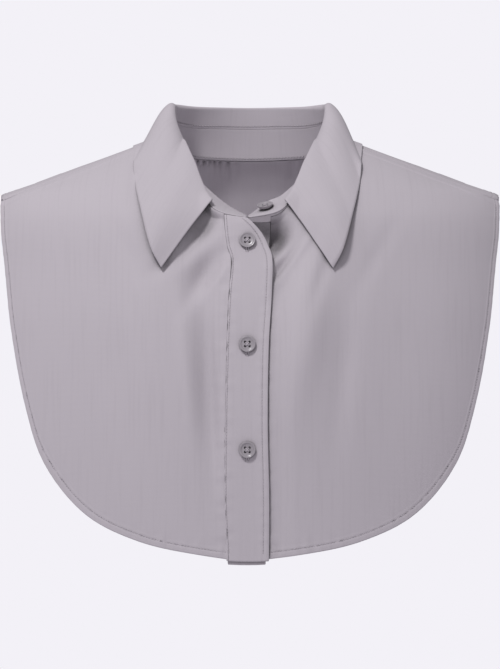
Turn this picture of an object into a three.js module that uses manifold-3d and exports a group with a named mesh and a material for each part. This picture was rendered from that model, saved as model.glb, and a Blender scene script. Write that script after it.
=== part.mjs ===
// Detachable shirt collar, as worn: a fall collar on a stand, with a short buttoned
// front and a back panel that comes forward over the shoulders.
// Millimetres, +Z up, the front faces -Y. The origin lies on the neck's axis at the
// height of the side neck points, where the collar sits on a neck.
import * as THREE from 'three';
import { mergeVertices } from 'three/addons/utils/BufferGeometryUtils.js';
import Module from 'manifold-3d';

const wasm = await Module();
wasm.setup();

// Driving dimensions of the shape as worn
const shoulderHalfWidth = 196;
const frontLength = 325;
const backLength = 302;
const chestDepth = 119;
const backDepth = 97;
const neckHalfWidth = 70;
const neckFrontDrop = 66.5;
const neckBackDrop = 15;
const rollHalfWidth = 58.6;
const rollHeight = 28;
const rollFrontDrop = 64.3;
const rollFrontDepth = 58;
const rollBackDepth = 54;
const leafReach = 90;
const leafSway = -2;
const leafPointDrop = 106;
const leafBackDrop = 30;
const leafLift = 5;
const closingLine = -2;
const placketWidth = 32;
const underlapExtra = 2.4;
const foldDepth = 3.4;
const gatherDepth = 1.7;
const gatherLength = 34;
const gatherPitch = 9;
const gatherRise = 4;
const hangDepth = 2;
const hangFolds = 6;

// Cloth and clearances
const clothWall = 1;
const bandWall = 1.6;
const rollRadius = 1.3;
const layerGap = 0.3;
const seamGap = 0.6;
const standBow = 0.4;

// Buttons
const buttonDiameter = 12.7;
const buttonThickness = 2.8;
const buttonRim = 1.7;
const buttonDish = 0.8;
const buttonHoleDiameter = 1.6;
const buttonHoleSpacing = 3;
const firstButtonDrop = 84;
const buttonPitch = 79;
const neckButtonSide = 14.2;

// Grid steps of the cloth walls: across and down each piece, or along the collar
const panelAcross = 20;
const panelDown = 16;
const placketAcross = 3;
const placketDown = 26;
const backAcross = 46;
const standAlong = 60;
const leafAlong = 48;
const fallSteps = 7;
const buttonSides = 20;
const halvings = 40;

const clothColour = 0xb5aeb5;
const buttonColour = 0x8d888e;

// Sections of the shape that the cloth hangs on, from the side neck points down.
// down is a share of frontLength, half of shoulderHalfWidth, front of chestDepth and
// back of backDepth.
const bodySections = [
  { down: 0, half: 0.357, front: 0.17, back: 0.39 },
  { down: 0.018, half: 0.446, front: 0.277, back: 0.485 },
  { down: 0.058, half: 0.621, front: 0.387, back: 0.64 },
  { down: 0.11, half: 0.851, front: 0.496, back: 0.753 },
  { down: 0.145, half: 1, front: 0.56, back: 0.804 },
  { down: 0.205, half: 1.068, front: 0.672, back: 0.866 },
  { down: 0.31, half: 1.104, front: 0.765, back: 0.948 },
  { down: 0.46, half: 1.134, front: 0.874, back: 1 },
  { down: 0.68, half: 1.155, front: 0.958, back: 1 },
  { down: 1.02, half: 1.158, front: 1, back: 0.948 },
];

// Stations of the collar, from the centre of the front round to the centre of the back.
// base is the neckline on the body: side a share of neckHalfWidth, drop of
// neckFrontDrop in front and of neckBackDrop behind.
// roll is the collar's top line: side a share of rollHalfWidth, depth of rollFrontDepth
// in front and of rollBackDepth behind, and fall the share of the way down from
// rollHeight to rollFrontDrop.
// stand is the share of the collar's height that the stand takes, and seam and fold the
// shares at which the leaf starts and folds over. Towards the front the leaf lies beside
// the stand, and the stand shows above its fold.
// turn is the roll's radius as a share of rollRadius, and cover how far outside the
// neckline the leaf is drawn, as a share of leafLift.
// edge is the leaf's free edge: side a share of leafReach, drop of leafPointDrop in
// front and of leafBackDrop behind. lift is how far it stands off, as a share of leafLift.
const collarStations = [
  { base: [0, 1], roll: [0, 1, 1.003], stand: 1 },
  { base: [0.279, 0.944], roll: [0.26, 0.95, 0.915], stand: 1 },
  {
    base: [0.43, 0.85], roll: [0.47, 0.86, 0.81], stand: 1,
    seam: 0, fold: 0.12, beside: 1, turn: 0.35, cover: 1.2, edge: [0.717, 1], lift: 1.9,
  },
  {
    base: [0.707, 0.58], roll: [0.7, 0.7, 0.665], stand: 1,
    seam: 0.48, fold: 0.76, beside: 1, turn: 0.65, cover: 1.5, edge: [0.8, 0.86], lift: 1.6,
  },
  {
    base: [0.866, 0.287], roll: [0.82, 0.41, 0.505], stand: 0.74,
    seam: 0.77, fold: 1, beside: 0.75, turn: 0.85, cover: 1.8, edge: [0.88, 0.62], lift: 0.9,
  },
  {
    base: [0.966, 0.087], roll: [0.945, 0.155, 0.225], stand: 0.7,
    seam: 0.7, fold: 1, beside: 0.1, turn: 1, cover: 2.2, edge: [0.93, 0.38], lift: 0.4,
  },
  {
    base: [1, 0], roll: [1, -0.09, 0.033], stand: 0.66,
    seam: 0.66, fold: 1, turn: 1, cover: 2.3, edge: [0.935, 0.2], lift: 0.2,
  },
  {
    base: [0.943, 0.45], back: true, roll: [0.956, 0.41, 0.015], stand: 0.61,
    seam: 0.61, fold: 1, turn: 1, cover: 2.2, edge: [0.91, 0.29], lift: 0.2,
  },
  {
    base: [0.707, 0.84], back: true, roll: [0.734, 0.72, 0.01], stand: 0.59,
    seam: 0.59, fold: 1, turn: 1, cover: 1.8, edge: [0.86, 0.62], lift: 0.1,
  },
  {
    base: [0.371, 0.96], back: true, roll: [0.375, 0.93, 0.005], stand: 0.6,
    seam: 0.6, fold: 1, turn: 1, cover: 1.6, edge: [0.47, 0.89], lift: 0.1,
  },
  {
    base: [0, 1], back: true, roll: [0, 1, 0.005], stand: 0.6,
    seam: 0.6, fold: 1, turn: 1, cover: 1.6, edge: [0, 1], lift: 0.1,
  },
];
const leafFirst = 2;
const standEnd = 0.002;

// Free edge of the front, from the shoulder's tip to the centre of the hem.
// side is a share of shoulderHalfWidth, down of frontLength.
const frontOutline = [
  { side: 0.988, down: 0.154 },
  { side: 0.991, down: 0.214 },
  { side: 0.967, down: 0.335 },
  { side: 0.939, down: 0.468 },
  { side: 0.88, down: 0.645 },
  { side: 0.81, down: 0.775 },
  { side: 0.668, down: 0.889 },
  { side: 0.488, down: 0.952 },
  { side: 0.265, down: 0.986 },
  { side: 0, down: 1.001 },
];

// The placket's lines, from the neckline to the hem. down is a share of frontLength.
// edge is the overlap's front edge and seam its stitched edge, underEdge and underSeam
// those of the underlap, as shares of placketWidth to the side of the closing line.
const placketLines = [
  { down: 0.204, edge: 0, seam: -0.547, underEdge: 0.06, underSeam: 0.547 },
  { down: 0.239, edge: 0.36, seam: -0.516, underEdge: -0.2, underSeam: 0.547 },
  { down: 0.271, edge: 0.506, seam: -0.469, underEdge: -0.44, underSeam: 0.5 },
  { down: 0.308, edge: 0.594, seam: -0.38, underEdge: -0.5, underSeam: 0.47 },
  { down: 0.39, edge: 0.57, seam: -0.44, underEdge: -0.5, underSeam: 0.45 },
  { down: 0.508, edge: 0.497, seam: -0.49, underEdge: -0.5, underSeam: 0.42 },
  { down: 0.677, edge: 0.472, seam: -0.53, underEdge: -0.5, underSeam: 0.4 },
  { down: 0.862, edge: 0.506, seam: -0.54, underEdge: -0.48, underSeam: 0.42 },
  { down: 1, edge: 0.497, seam: -0.47, underEdge: -0.45, underSeam: 0.42 },
];

// Drape folds of the cloth. side and width are shares of shoulderHalfWidth, down and
// length of frontLength, lean is in degrees from upright, depth a share of foldDepth,
// below zero for a hollow.
const drapeFolds = [
  { side: -0.172, down: 0.61, width: 0.05, length: 0.2, lean: 2, depth: -0.9 },
  { side: -0.165, down: 0.325, width: 0.075, length: 0.075, lean: -35, depth: -1 },
  { side: -0.39, down: 0.33, width: 0.16, length: 0.3, lean: 6, depth: 1 },
  { side: 0.19, down: 0.5, width: 0.085, length: 0.22, lean: -8, depth: 1.1 },
  { side: 0.16, down: 0.33, width: 0.045, length: 0.1, lean: -28, depth: -0.9 },
  { side: 0.55, down: 0.55, width: 0.17, length: 0.3, lean: -6, depth: -0.7 },
  { side: -0.7, down: 0.6, width: 0.16, length: 0.3, lean: 8, depth: -0.6 },
  { side: 0.1, down: 0.235, width: 0.075, length: 0.045, lean: -25, depth: -1.5 },
];

const smoothStep = (t) => THREE.MathUtils.smoothstep(t, 0, 1);

// A smooth curve of y over x through the rows of a table
function smoothAt(xs, ys, x) {
  const last = xs.length - 1;
  if (x <= xs[0]) return ys[0] + ((ys[1] - ys[0]) / (xs[1] - xs[0])) * (x - xs[0]);
  if (x >= xs[last]) return ys[last];
  let i = 0;
  while (x > xs[i + 1]) i++;
  const slope = (k) => {
    const before = Math.max(k - 1, 0);
    const after = Math.min(k + 1, last);
    return (ys[after] - ys[before]) / (xs[after] - xs[before]);
  };
  const step = xs[i + 1] - xs[i];
  const t = (x - xs[i]) / step;
  const rise = t * t * (3 - 2 * t);
  return (
    ys[i] * (1 - rise) + ys[i + 1] * rise +
    step * t * (1 - t) * (slope(i) * (1 - t) - slope(i + 1) * t)
  );
}

const sectionDowns = bodySections.map((row) => row.down * frontLength);
const sectionHalves = bodySections.map((row) => row.half * shoulderHalfWidth);
const sectionFronts = bodySections.map((row) => row.front * chestDepth);
const sectionBacks = bodySections.map((row) => row.back * backDepth);

// How far a point lies outside the body's outline at its own height: 1 on the surface
function outlineShare(x, y, z) {
  const half = smoothAt(sectionDowns, sectionHalves, -z);
  const depth = smoothAt(sectionDowns, y < 0 ? sectionFronts : sectionBacks, -z);
  return Math.hypot(x / half, y / depth);
}

// The body's surface at a point of the front or back view
function bodyPoint(x, z, back = false) {
  const half = smoothAt(sectionDowns, sectionHalves, -z);
  const depth = smoothAt(sectionDowns, back ? sectionBacks : sectionFronts, -z);
  const y = depth * Math.sqrt(Math.max(0, 1 - (x / half) ** 2));
  return new THREE.Vector3(x, back ? y : -y, z);
}

// The body's surface where a ray from inside the chest through a point meets it
const bodyCentre = new THREE.Vector3(0, 0, -0.4 * frontLength);
function ontoBody(point) {
  const ray = point.clone().sub(bodyCentre);
  let near = 0.2;
  let far = 3;
  for (let i = 0; i < halvings; i++) {
    const middle = (near + far) / 2;
    const p = bodyCentre.clone().addScaledVector(ray, middle);
    if (outlineShare(p.x, p.y, p.z) < 1 && p.z < 0.02 * frontLength) near = middle;
    else far = middle;
  }
  return bodyCentre.clone().addScaledVector(ray, near);
}

function bodyNormal(point) {
  const reach = 0.5;
  const value = (dx, dy, dz) => outlineShare(point.x + dx, point.y + dy, point.z + dz);
  return new THREE.Vector3(
    value(reach, 0, 0) - value(-reach, 0, 0),
    value(0, reach, 0) - value(0, -reach, 0),
    value(0, 0, reach) - value(0, 0, -reach),
  ).normalize();
}

// How far the front's cloth stands out from the body, in folds
function foldRelief(x, z) {
  let relief = 0;
  for (const fold of drapeFolds) {
    const lean = THREE.MathUtils.degToRad(fold.lean);
    const dx = x - fold.side * shoulderHalfWidth;
    const dz = z + fold.down * frontLength;
    const across = (dx * Math.cos(lean) + dz * Math.sin(lean)) / (fold.width * shoulderHalfWidth);
    const along = (dz * Math.cos(lean) - dx * Math.sin(lean)) / (fold.length * frontLength);
    relief += fold.depth * foldDepth * Math.exp(-(across ** 2) - along ** 2);
  }
  return relief;
}

// The collar's stations on both sides, from the right front round to the left front
function bothSides(column) {
  const right = collarStations.map((row) => column(row, 1));
  const left = collarStations.slice(0, -1).map((row) => column(row, -1));
  return [...right, ...left.reverse()];
}

function basePoint(row, side) {
  const drop = row.back ? neckBackDrop : neckFrontDrop;
  const x = closingShift(row) + side * row.base[0] * neckHalfWidth;
  return bodyPoint(x, -row.base[1] * drop, row.back);
}

// The centre of the front lies a little to one side, where the fronts meet
function closingShift(row) {
  return row.back ? 0 : closingLine * (1 - row.base[0]);
}

function rollPoint(row, side) {
  const depth = row.back ? rollBackDepth * row.roll[1] : -rollFrontDepth * row.roll[1];
  const x = closingShift(row) + side * row.roll[0] * rollHalfWidth;
  return new THREE.Vector3(x, depth, rollHeight - row.roll[2] * (rollHeight + rollFrontDrop));
}

function edgePoint(row, side) {
  const [across, down] = row.edge;
  const drop = row.back ? leafBackDrop : leafPointDrop;
  const p = bodyPoint(side * across * leafReach + leafSway, -down * drop, row.back);
  return p.addScaledVector(bodyNormal(p), row.lift * leafLift + 2 * clothWall);
}

function curveThrough(points) {
  return new THREE.CatmullRomCurve3(points, false, 'catmullrom', 0.5);
}

// Every station has a place from 0, at the right front, to 1, at the left front
const baseCurve = curveThrough(bothSides(basePoint));
const rollCurve = curveThrough(bothSides(rollPoint));
const lastStation = 2 * (collarStations.length - 1);
const leafStart = leafFirst / lastStation;
const allStations = bothSides((row, side) => ({ row, side }));
const leafStations = allStations.slice(leafFirst, lastStation - leafFirst + 1);
const edgeCurve = curveThrough(leafStations.map(({ row, side }) => edgePoint(row, side)));

function stationValue(name, place) {
  const values = bothSides((row) => row[name] ?? 0);
  return smoothAt(values.map((_, i) => i / lastStation), values, place);
}

// The collar's own directions at a station: up the stand, and out of its outer face
function collarFrame(place) {
  const base = ontoBody(baseCurve.getPoint(place));
  const roll = rollCurve.getPoint(place);
  const up = roll.clone().sub(base).normalize();
  const reach = 0.004;
  const ahead = baseCurve.getPoint(Math.min(place + reach, 1));
  const behind = baseCurve.getPoint(Math.max(place - reach, 0));
  const out = ahead.sub(behind).cross(up).normalize();
  return { base, roll, up, out };
}

// A point of the neckline on the body, moved away from the stand
function necklinePoint(place, away) {
  const { base, up } = collarFrame(place);
  return ontoBody(base.addScaledVector(up, -away));
}

// The place on one half of the neckline's front that lies at x
function placeAtSide(x, side) {
  let near = side < 0 ? 1 : 0;
  let far = side < 0 ? 0.8 : 0.2;
  for (let i = 0; i < halvings; i++) {
    const middle = (near + far) / 2;
    if (side * (ontoBody(baseCurve.getPoint(middle)).x - x) < 0) near = middle;
    else far = middle;
  }
  return near;
}

// Forward shoulder seam: a straight line of the front view, from the neckline to the
// free edge, a little in front of the shoulder's ridge
const seamPlace = { right: 5.6 / lastStation, left: 1 - 5.6 / lastStation };
function shoulderSeam(side, gap) {
  const top = necklinePoint(side > 0 ? seamPlace.right : seamPlace.left, seamGap);
  const tip = frontOutline[0];
  const end = bodyPoint(side * tip.side * shoulderHalfWidth, -tip.down * frontLength);
  return (t) => bodyPoint(top.x + (end.x - top.x) * t, top.z + (end.z - top.z) * t - gap);
}

function outlineCurve(rows, side, length, back) {
  const pointOf = (row) => bodyPoint(side * row.side * shoulderHalfWidth, -row.down * length, back);
  return curveThrough(rows.map(pointOf));
}

function placketLine(column, firstPlace) {
  const rows = placketLines.slice(1);
  const lineX = (row) => closingLine + row[column] * placketWidth;
  const points = rows.map((row) => bodyPoint(lineX(row), -row.down * frontLength));
  return curveThrough([ontoBody(baseCurve.getPoint(firstPlace)), ...points]);
}

// A patch of the body's surface between four lines, each a function of 0 to 1.
// top and bottom run across, left and right run down.
function bodyPatch({ top, bottom, left, right }, across, down) {
  const rows = [];
  const corners = [top(0), top(1), bottom(0), bottom(1)];
  for (let j = 0; j <= down; j++) {
    const v = j / down;
    const row = [];
    for (let i = 0; i <= across; i++) {
      const u = i / across;
      const p = new THREE.Vector3();
      p.addScaledVector(top(u), 1 - v).addScaledVector(bottom(u), v);
      p.addScaledVector(left(v), 1 - u).addScaledVector(right(v), u);
      p.addScaledVector(corners[0], -(1 - u) * (1 - v)).addScaledVector(corners[1], -u * (1 - v));
      p.addScaledVector(corners[2], -(1 - u) * v).addScaledVector(corners[3], -u * v);
      row.push(ontoBody(p));
    }
    rows.push(row);
  }
  return rows;
}

// A grid of points moved along the body's normal by a relief
function raised(grid, relief) {
  return grid.map((row) => row.map((p) => p.clone().addScaledVector(bodyNormal(p), relief(p))));
}

// A closed wall of even thickness about a grid of points
function clothWallAbout(grid, wall, facing) {
  const rows = grid.length;
  const columns = grid[0].length;
  const normalAt = (j, i) => {
    const across = grid[j][Math.min(i + 1, columns - 1)].clone().sub(grid[j][Math.max(i - 1, 0)]);
    const down = grid[Math.min(j + 1, rows - 1)][i].clone().sub(grid[Math.max(j - 1, 0)][i]);
    return down.cross(across).normalize();
  };
  const sign = normalAt(rows >> 1, columns >> 1).dot(facing(grid[rows >> 1][columns >> 1])) < 0 ? -1 : 1;
  const position = [];
  for (const side of [1, -1]) {
    for (let j = 0; j < rows; j++) {
      for (let i = 0; i < columns; i++) {
        const p = grid[j][i].clone().addScaledVector(normalAt(j, i), (sign * side * wall) / 2);
        position.push(p.x, p.y, p.z);
      }
    }
  }
  const index = [];
  const face = (a, b, c, d) => {
    if (sign > 0) index.push(a, b, c, a, c, d);
    else index.push(a, c, b, a, d, c);
  };
  const outer = (j, i) => j * columns + i;
  const inner = (j, i) => rows * columns + j * columns + i;
  for (let j = 0; j < rows - 1; j++) {
    for (let i = 0; i < columns - 1; i++) {
      face(outer(j, i), outer(j + 1, i), outer(j + 1, i + 1), outer(j, i + 1));
      face(inner(j, i), inner(j, i + 1), inner(j + 1, i + 1), inner(j + 1, i));
    }
  }
  for (let i = 0; i < columns - 1; i++) {
    face(outer(0, i), outer(0, i + 1), inner(0, i + 1), inner(0, i));
    face(outer(rows - 1, i), inner(rows - 1, i), inner(rows - 1, i + 1), outer(rows - 1, i + 1));
  }
  for (let j = 0; j < rows - 1; j++) {
    face(outer(j, 0), inner(j, 0), inner(j + 1, 0), outer(j + 1, 0));
    face(outer(j, columns - 1), outer(j + 1, columns - 1), inner(j + 1, columns - 1), inner(j, columns - 1));
  }
  const geometry = new THREE.BufferGeometry();
  geometry.setAttribute('position', new THREE.Float32BufferAttribute(position, 3));
  geometry.setIndex(index);
  geometry.computeVertexNormals();
  return geometry;
}

const collar = new THREE.Group();

function addPiece(name, geometry, color, roughness) {
  const material = new THREE.MeshStandardMaterial({ color, roughness, metalness: 0 });
  const mesh = new THREE.Mesh(geometry, material);
  mesh.name = name;
  collar.add(mesh);
  return mesh;
}

const outwards = (p) => p.clone().sub(bodyCentre);
const underDip = clothWall + seamGap;

// How soon a line leaves the neckline and the hem: a higher power leaves it sooner
const neckBlend = 12;
const hemBlend = 8;

// One front panel, from its placket's seam to the armhole
function addFrontPanel(name, side, seamColumn, dipsUnder) {
  const firstRow = placketLines[0];
  const seamX = closingLine + firstRow[seamColumn] * placketWidth + side * layerGap;
  const start = placeAtSide(seamX, side);
  const end = side > 0 ? seamPlace.right : seamPlace.left;
  const seam = placketLine(seamColumn, start);
  const shoulder = shoulderSeam(side, layerGap);
  const free = outlineCurve(frontOutline, side, frontLength, false);
  const seamEnd = seam.getPoint(1);
  const away = dipsUnder ? seamGap + underDip : seamGap;
  const patch = bodyPatch(
    {
      top: (u) => necklinePoint(start + (end - start) * u, away + (seamGap - away) * u),
      bottom: (u) => {
        const p = free.getPoint(1 - u);
        return p.lerp(new THREE.Vector3(seamEnd.x, seamEnd.y, p.z), (1 - u) ** hemBlend);
      },
      left: (v) => {
        const p = seam.getPoint(v);
        return new THREE.Vector3(p.x + side * layerGap, p.y, p.z);
      },
      right: shoulder,
    },
    panelAcross,
    panelDown,
  );
  const dipStart = 0.65 * placketWidth;
  const dipWidth = 0.5 * placketWidth;
  const dip = (p) => {
    const share = (side * (p.x - closingLine) - dipStart) / dipWidth;
    return dipsUnder ? -underDip * (1 - smoothStep(share)) : 0;
  };
  const grid = raised(patch, (p) => foldRelief(p.x, p.z) + dip(p));
  addPiece(name, clothWallAbout(grid, clothWall, outwards), clothColour, 0.85);
}

// One placket: a strip from its seam to its front edge
function addPlacket(name, side, seamColumn, edgeColumn, offset, topGap, extraLength) {
  const firstRow = placketLines[0];
  const seamPlaceOnNeck = placeAtSide(closingLine + firstRow[seamColumn] * placketWidth, side);
  const edgePlaceOnNeck = placeAtSide(closingLine + firstRow[edgeColumn] * placketWidth, side);
  const seam = placketLine(seamColumn, seamPlaceOnNeck);
  const edge = placketLine(edgeColumn, edgePlaceOnNeck);
  const nearNeck = (place, v, p) => p.lerp(necklinePoint(place, topGap), (1 - v) ** neckBlend);
  const lower = (p, v) => new THREE.Vector3(p.x, p.y, p.z - extraLength * v ** hemBlend);
  const left = (v) => nearNeck(seamPlaceOnNeck, v, lower(seam.getPoint(v), v));
  const right = (v) => nearNeck(edgePlaceOnNeck, v, lower(edge.getPoint(v), v));
  const patch = bodyPatch(
    {
      top: (u) => necklinePoint(seamPlaceOnNeck + (edgePlaceOnNeck - seamPlaceOnNeck) * u, topGap),
      bottom: (u) => left(1).lerp(right(1), u),
      left,
      right,
    },
    placketAcross,
    placketDown,
  );
  const grid = raised(patch, (p) => foldRelief(p.x, p.z) + offset);
  addPiece(name, clothWallAbout(grid, clothWall, outwards), clothColour, 0.85);
}

// The back panel, over both shoulders to the forward seams, gathered below the stand
function addBackPanel() {
  const rightSeam = shoulderSeam(1, 0);
  const leftSeam = shoulderSeam(-1, 0);
  const tip = frontOutline[0];
  const sideRows = frontOutline.slice(1);
  const ridgeEnd = (side) => bodyPoint(side * shoulderHalfWidth, -tip.down * frontLength * 0.945, true);
  const backRows = (side) => sideRows.map(({ side: x, down }) =>
    bodyPoint(side * x * shoulderHalfWidth, -down * backLength, true));
  const left = backRows(-1).reverse();
  const rightHalf = [rightSeam(1), ridgeEnd(1), ...backRows(1)];
  const free = curveThrough([...rightHalf, ...left.slice(1), ridgeEnd(-1), leftSeam(1)]);
  const patch = bodyPatch(
    {
      top: (u) => necklinePoint(seamPlace.right + (seamPlace.left - seamPlace.right) * u, seamGap),
      bottom: (u) => free.getPoint(u),
      left: rightSeam,
      right: leftSeam,
    },
    backAcross,
    panelDown,
  );
  const grid = patch.map((row, j) => row.map((p, i) => {
    const fromNeck = p.distanceTo(patch[0][i]);
    const share = i / backAcross;
    const behind = p.y > 0 ? 1 - Math.abs(p.x) / neckHalfWidth : 0;
    const wave = Math.sin((2 * Math.PI * p.x) / gatherPitch) * smoothStep(Math.max(behind, 0) * 2);
    const fade = (1 - Math.exp(-fromNeck / gatherRise)) * Math.exp(-fromNeck / gatherLength);
    const hang = hangDepth * Math.cos(share * Math.PI * hangFolds) * Math.min(1, (2 * j) / panelDown) ** 2;
    return p.clone().addScaledVector(bodyNormal(p), gatherDepth * wave * fade + hang * (p.y > 0 ? 1 : 0));
  }));
  addPiece('back_panel', clothWallAbout(grid, clothWall, outwards), clothColour, 0.85);
}

// The stand, from the neckline up to the leaf's seam
function addStand() {
  const grid = [];
  for (let j = 0; j <= standAlong; j++) {
    const place = standEnd + ((1 - 2 * standEnd) * j) / standAlong;
    const { base, roll, up, out } = collarFrame(place);
    const height = roll.distanceTo(base);
    const top = height * stationValue('stand', place) - layerGap / 2;
    const row = [];
    for (let i = 0; i <= 3; i++) {
      const t = i / 3;
      const bow = standBow * Math.sin(Math.PI * t);
      const p = base.clone().addScaledVector(up, seamGap + (top - seamGap) * t);
      row.push(p.addScaledVector(out, bow));
    }
    grid.push(row);
  }
  const facing = () => collarFrame(0.5).out;
  addPiece('collar_stand', clothWallAbout(grid, bandWall, facing), clothColour, 0.85);
}

// The larger of two lengths, with the change from one to the other rounded
function softMax(a, b, rounding) {
  return (a + b + Math.hypot(a - b, rounding)) / 2;
}

// A point of the leaf kept above the cloth that lies on the body
function clearOfBody(p, lift) {
  const foot = ontoBody(p);
  const normal = bodyNormal(foot);
  const rise = p.clone().sub(foot).dot(normal);
  const behind = smoothStep(2 * (1 - Math.abs(foot.x) / neckHalfWidth));
  const relief = p.y < 0 ? foldRelief(foot.x, foot.z) : gatherDepth * behind + 3 * seamGap;
  const least = (clothWall + bandWall) / 2 + seamGap + Math.max(relief, 0) + lift;
  return p.clone().addScaledVector(normal, softMax(rise, least, 1) - rise);
}

// A point of the leaf kept outside the stand
const standFrames = Array.from({ length: 121 }, (_, i) => collarFrame(i / 120));
function clearOfStand(p) {
  const nearest = standFrames.reduce((best, frame) =>
    (p.distanceToSquared(frame.base) < p.distanceToSquared(best.base) ? frame : best));
  const offset = p.clone().sub(nearest.base);
  const height = nearest.roll.distanceTo(nearest.base);
  const beside = smoothStep((offset.dot(nearest.up) + 4) / 4) * (offset.dot(nearest.up) < height + 2 ? 1 : 0);
  const out = offset.dot(nearest.out);
  const least = bandWall + standBow + seamGap;
  return p.clone().addScaledVector(nearest.out, beside * (softMax(out, least, 0.5) - out));
}

// One section of the leaf: up from the stand, over the roll and down the fall
function leafSection(place) {
  const { base, roll, up, out } = collarFrame(place);
  const height = roll.distanceTo(base);
  const aside = stationValue('beside', place) * (bandWall + seamGap);
  const seamHeight = height * stationValue('seam', place) + layerGap;
  const share = (place - leafStart) / (1 - 2 * leafStart);
  const edge = edgeCurve.getPoint(share);
  const start = base.clone().addScaledVector(up, seamHeight).addScaledVector(out, aside);
  const radius = rollRadius * stationValue('turn', place);
  const foldHeight = height * stationValue('fold', place) - radius;
  const turnEnd = base.clone().addScaledVector(up, foldHeight).addScaledVector(out, aside);
  const centre = turnEnd.clone().addScaledVector(out, radius);
  const fallStart = centre.clone().addScaledVector(out, radius);
  const overSeam = out.clone().add(bodyNormal(base)).normalize();
  const control = base.clone().addScaledVector(overSeam, stationValue('cover', place) * leafLift);
  const section = [start, turnEnd];
  for (const angle of [45, 90, 135]) {
    const turn = THREE.MathUtils.degToRad(angle);
    const p = centre.clone().addScaledVector(out, -radius * Math.cos(turn));
    section.push(p.addScaledVector(up, radius * Math.sin(turn)));
  }
  const fall = new THREE.QuadraticBezierCurve3(fallStart, control, edge).getPoints(fallSteps);
  const lift = stationValue('lift', place) * leafLift;
  const clear = fall.map((p, i) => (i === 0 ? p : clearOfBody(clearOfStand(p), (lift * i) / fallSteps)));
  return [...section, ...clear];
}

function addLeaf() {
  const grid = [];
  for (let j = 0; j <= leafAlong; j++) {
    grid.push(leafSection(leafStart + ((1 - 2 * leafStart) * j) / leafAlong));
  }
  const facing = () => new THREE.Vector3(0, 1, 0);
  addPiece('collar_leaf', clothWallAbout(grid, bandWall, facing), clothColour, 0.85);
}

// Solids of the cutting library from three.js geometry, and back
function toSolid(geometry) {
  const bare = geometry.clone();
  bare.deleteAttribute('normal');
  bare.deleteAttribute('uv');
  const merged = mergeVertices(bare, 1e-4);
  const vertProperties = new Float32Array(merged.attributes.position.array);
  const triVerts = new Uint32Array(merged.index.array);
  return new wasm.Manifold(new wasm.Mesh({ numProp: 3, vertProperties, triVerts }));
}

function fromSolid(solid) {
  const mesh = solid.getMesh();
  const geometry = new THREE.BufferGeometry();
  geometry.setAttribute('position', new THREE.BufferAttribute(mesh.vertProperties, 3));
  geometry.setIndex(new THREE.BufferAttribute(mesh.triVerts, 1));
  geometry.computeVertexNormals();
  return geometry;
}

// A four-hole button with a raised rim, its back on z = 0
function buttonGeometry() {
  const radius = buttonDiameter / 2;
  const floor = buttonThickness - buttonDish;
  const profile = [
    [0, 0], [radius * 0.78, 0], [radius, buttonThickness * 0.45], [radius * 0.96, buttonThickness * 0.8],
    [radius * 0.86, buttonThickness], [radius - buttonRim, floor + buttonDish * 0.25],
    [radius * 0.5, floor], [0, floor],
  ];
  const body = new THREE.LatheGeometry(profile.map(([r, z]) => new THREE.Vector2(r, z)), buttonSides);
  body.rotateX(Math.PI / 2);
  body.scale(1, -1, 1);
  let solid = toSolid(flipped(body));
  for (const side of [-1, 1]) {
    for (const rise of [-1, 1]) {
      const holeRadius = buttonHoleDiameter / 2;
      const hole = new THREE.CylinderGeometry(holeRadius, holeRadius, 3 * buttonThickness, 8);
      hole.rotateX(Math.PI / 2);
      hole.translate((side * buttonHoleSpacing) / 2, (rise * buttonHoleSpacing) / 2, 0);
      solid = solid.subtract(toSolid(hole));
    }
  }
  return fromSolid(solid);
}

// A mirrored geometry has its faces turned round again
function flipped(geometry) {
  const index = geometry.index.array;
  for (let i = 0; i < index.length; i += 3) [index[i], index[i + 1]] = [index[i + 1], index[i]];
  return geometry;
}

function addButton(name, seat, facing) {
  const mesh = addPiece(name, buttonGeometry(), buttonColour, 0.3);
  mesh.position.copy(seat);
  mesh.quaternion.setFromUnitVectors(new THREE.Vector3(0, 0, 1), facing);
}

function addFrontButton(name, drop) {
  const p = bodyPoint(closingLine, -drop);
  const facing = bodyNormal(p);
  const lift = foldRelief(p.x, p.z) + clothWall / 2 + seamGap;
  addButton(name, p.addScaledVector(facing, lift), facing);
}

addStand();
addLeaf();
addFrontPanel('front_overlap_panel', -1, 'seam', false);
addFrontPanel('front_underlap_panel', 1, 'underSeam', true);
addPlacket('overlap_placket', -1, 'seam', 'edge', 0, seamGap, 0);
addPlacket('underlap_placket', 1, 'underSeam', 'underEdge', -underDip, seamGap + underDip, underlapExtra);
addBackPanel();
['button_top', 'button_middle', 'button_bottom'].forEach((name, i) => {
  addFrontButton(name, firstButtonDrop + i * buttonPitch);
});
const neckButton = collarFrame(placeAtSide(neckButtonSide, 1));
const neckButtonSeat = neckButton.base.clone().lerp(neckButton.roll, 0.5);
neckButtonSeat.addScaledVector(neckButton.out, standBow + bandWall / 2 + 2 * seamGap);
addButton('button_neck', neckButtonSeat, neckButton.out);

export default collar;
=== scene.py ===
"""Detachable shirt collar: its cloth, seams, stitches and buttons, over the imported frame.

Lengths are in millimetres in the frame's own axes, and turn to metres when a mesh is made.
The cloth's folds, gathers and puckers are modelled in code from named tables.
"""

import logging
import math
from dataclasses import dataclass
from enum import Enum
from typing import Callable

import bpy
import numpy as np
from mathutils import Matrix, Vector


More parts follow.
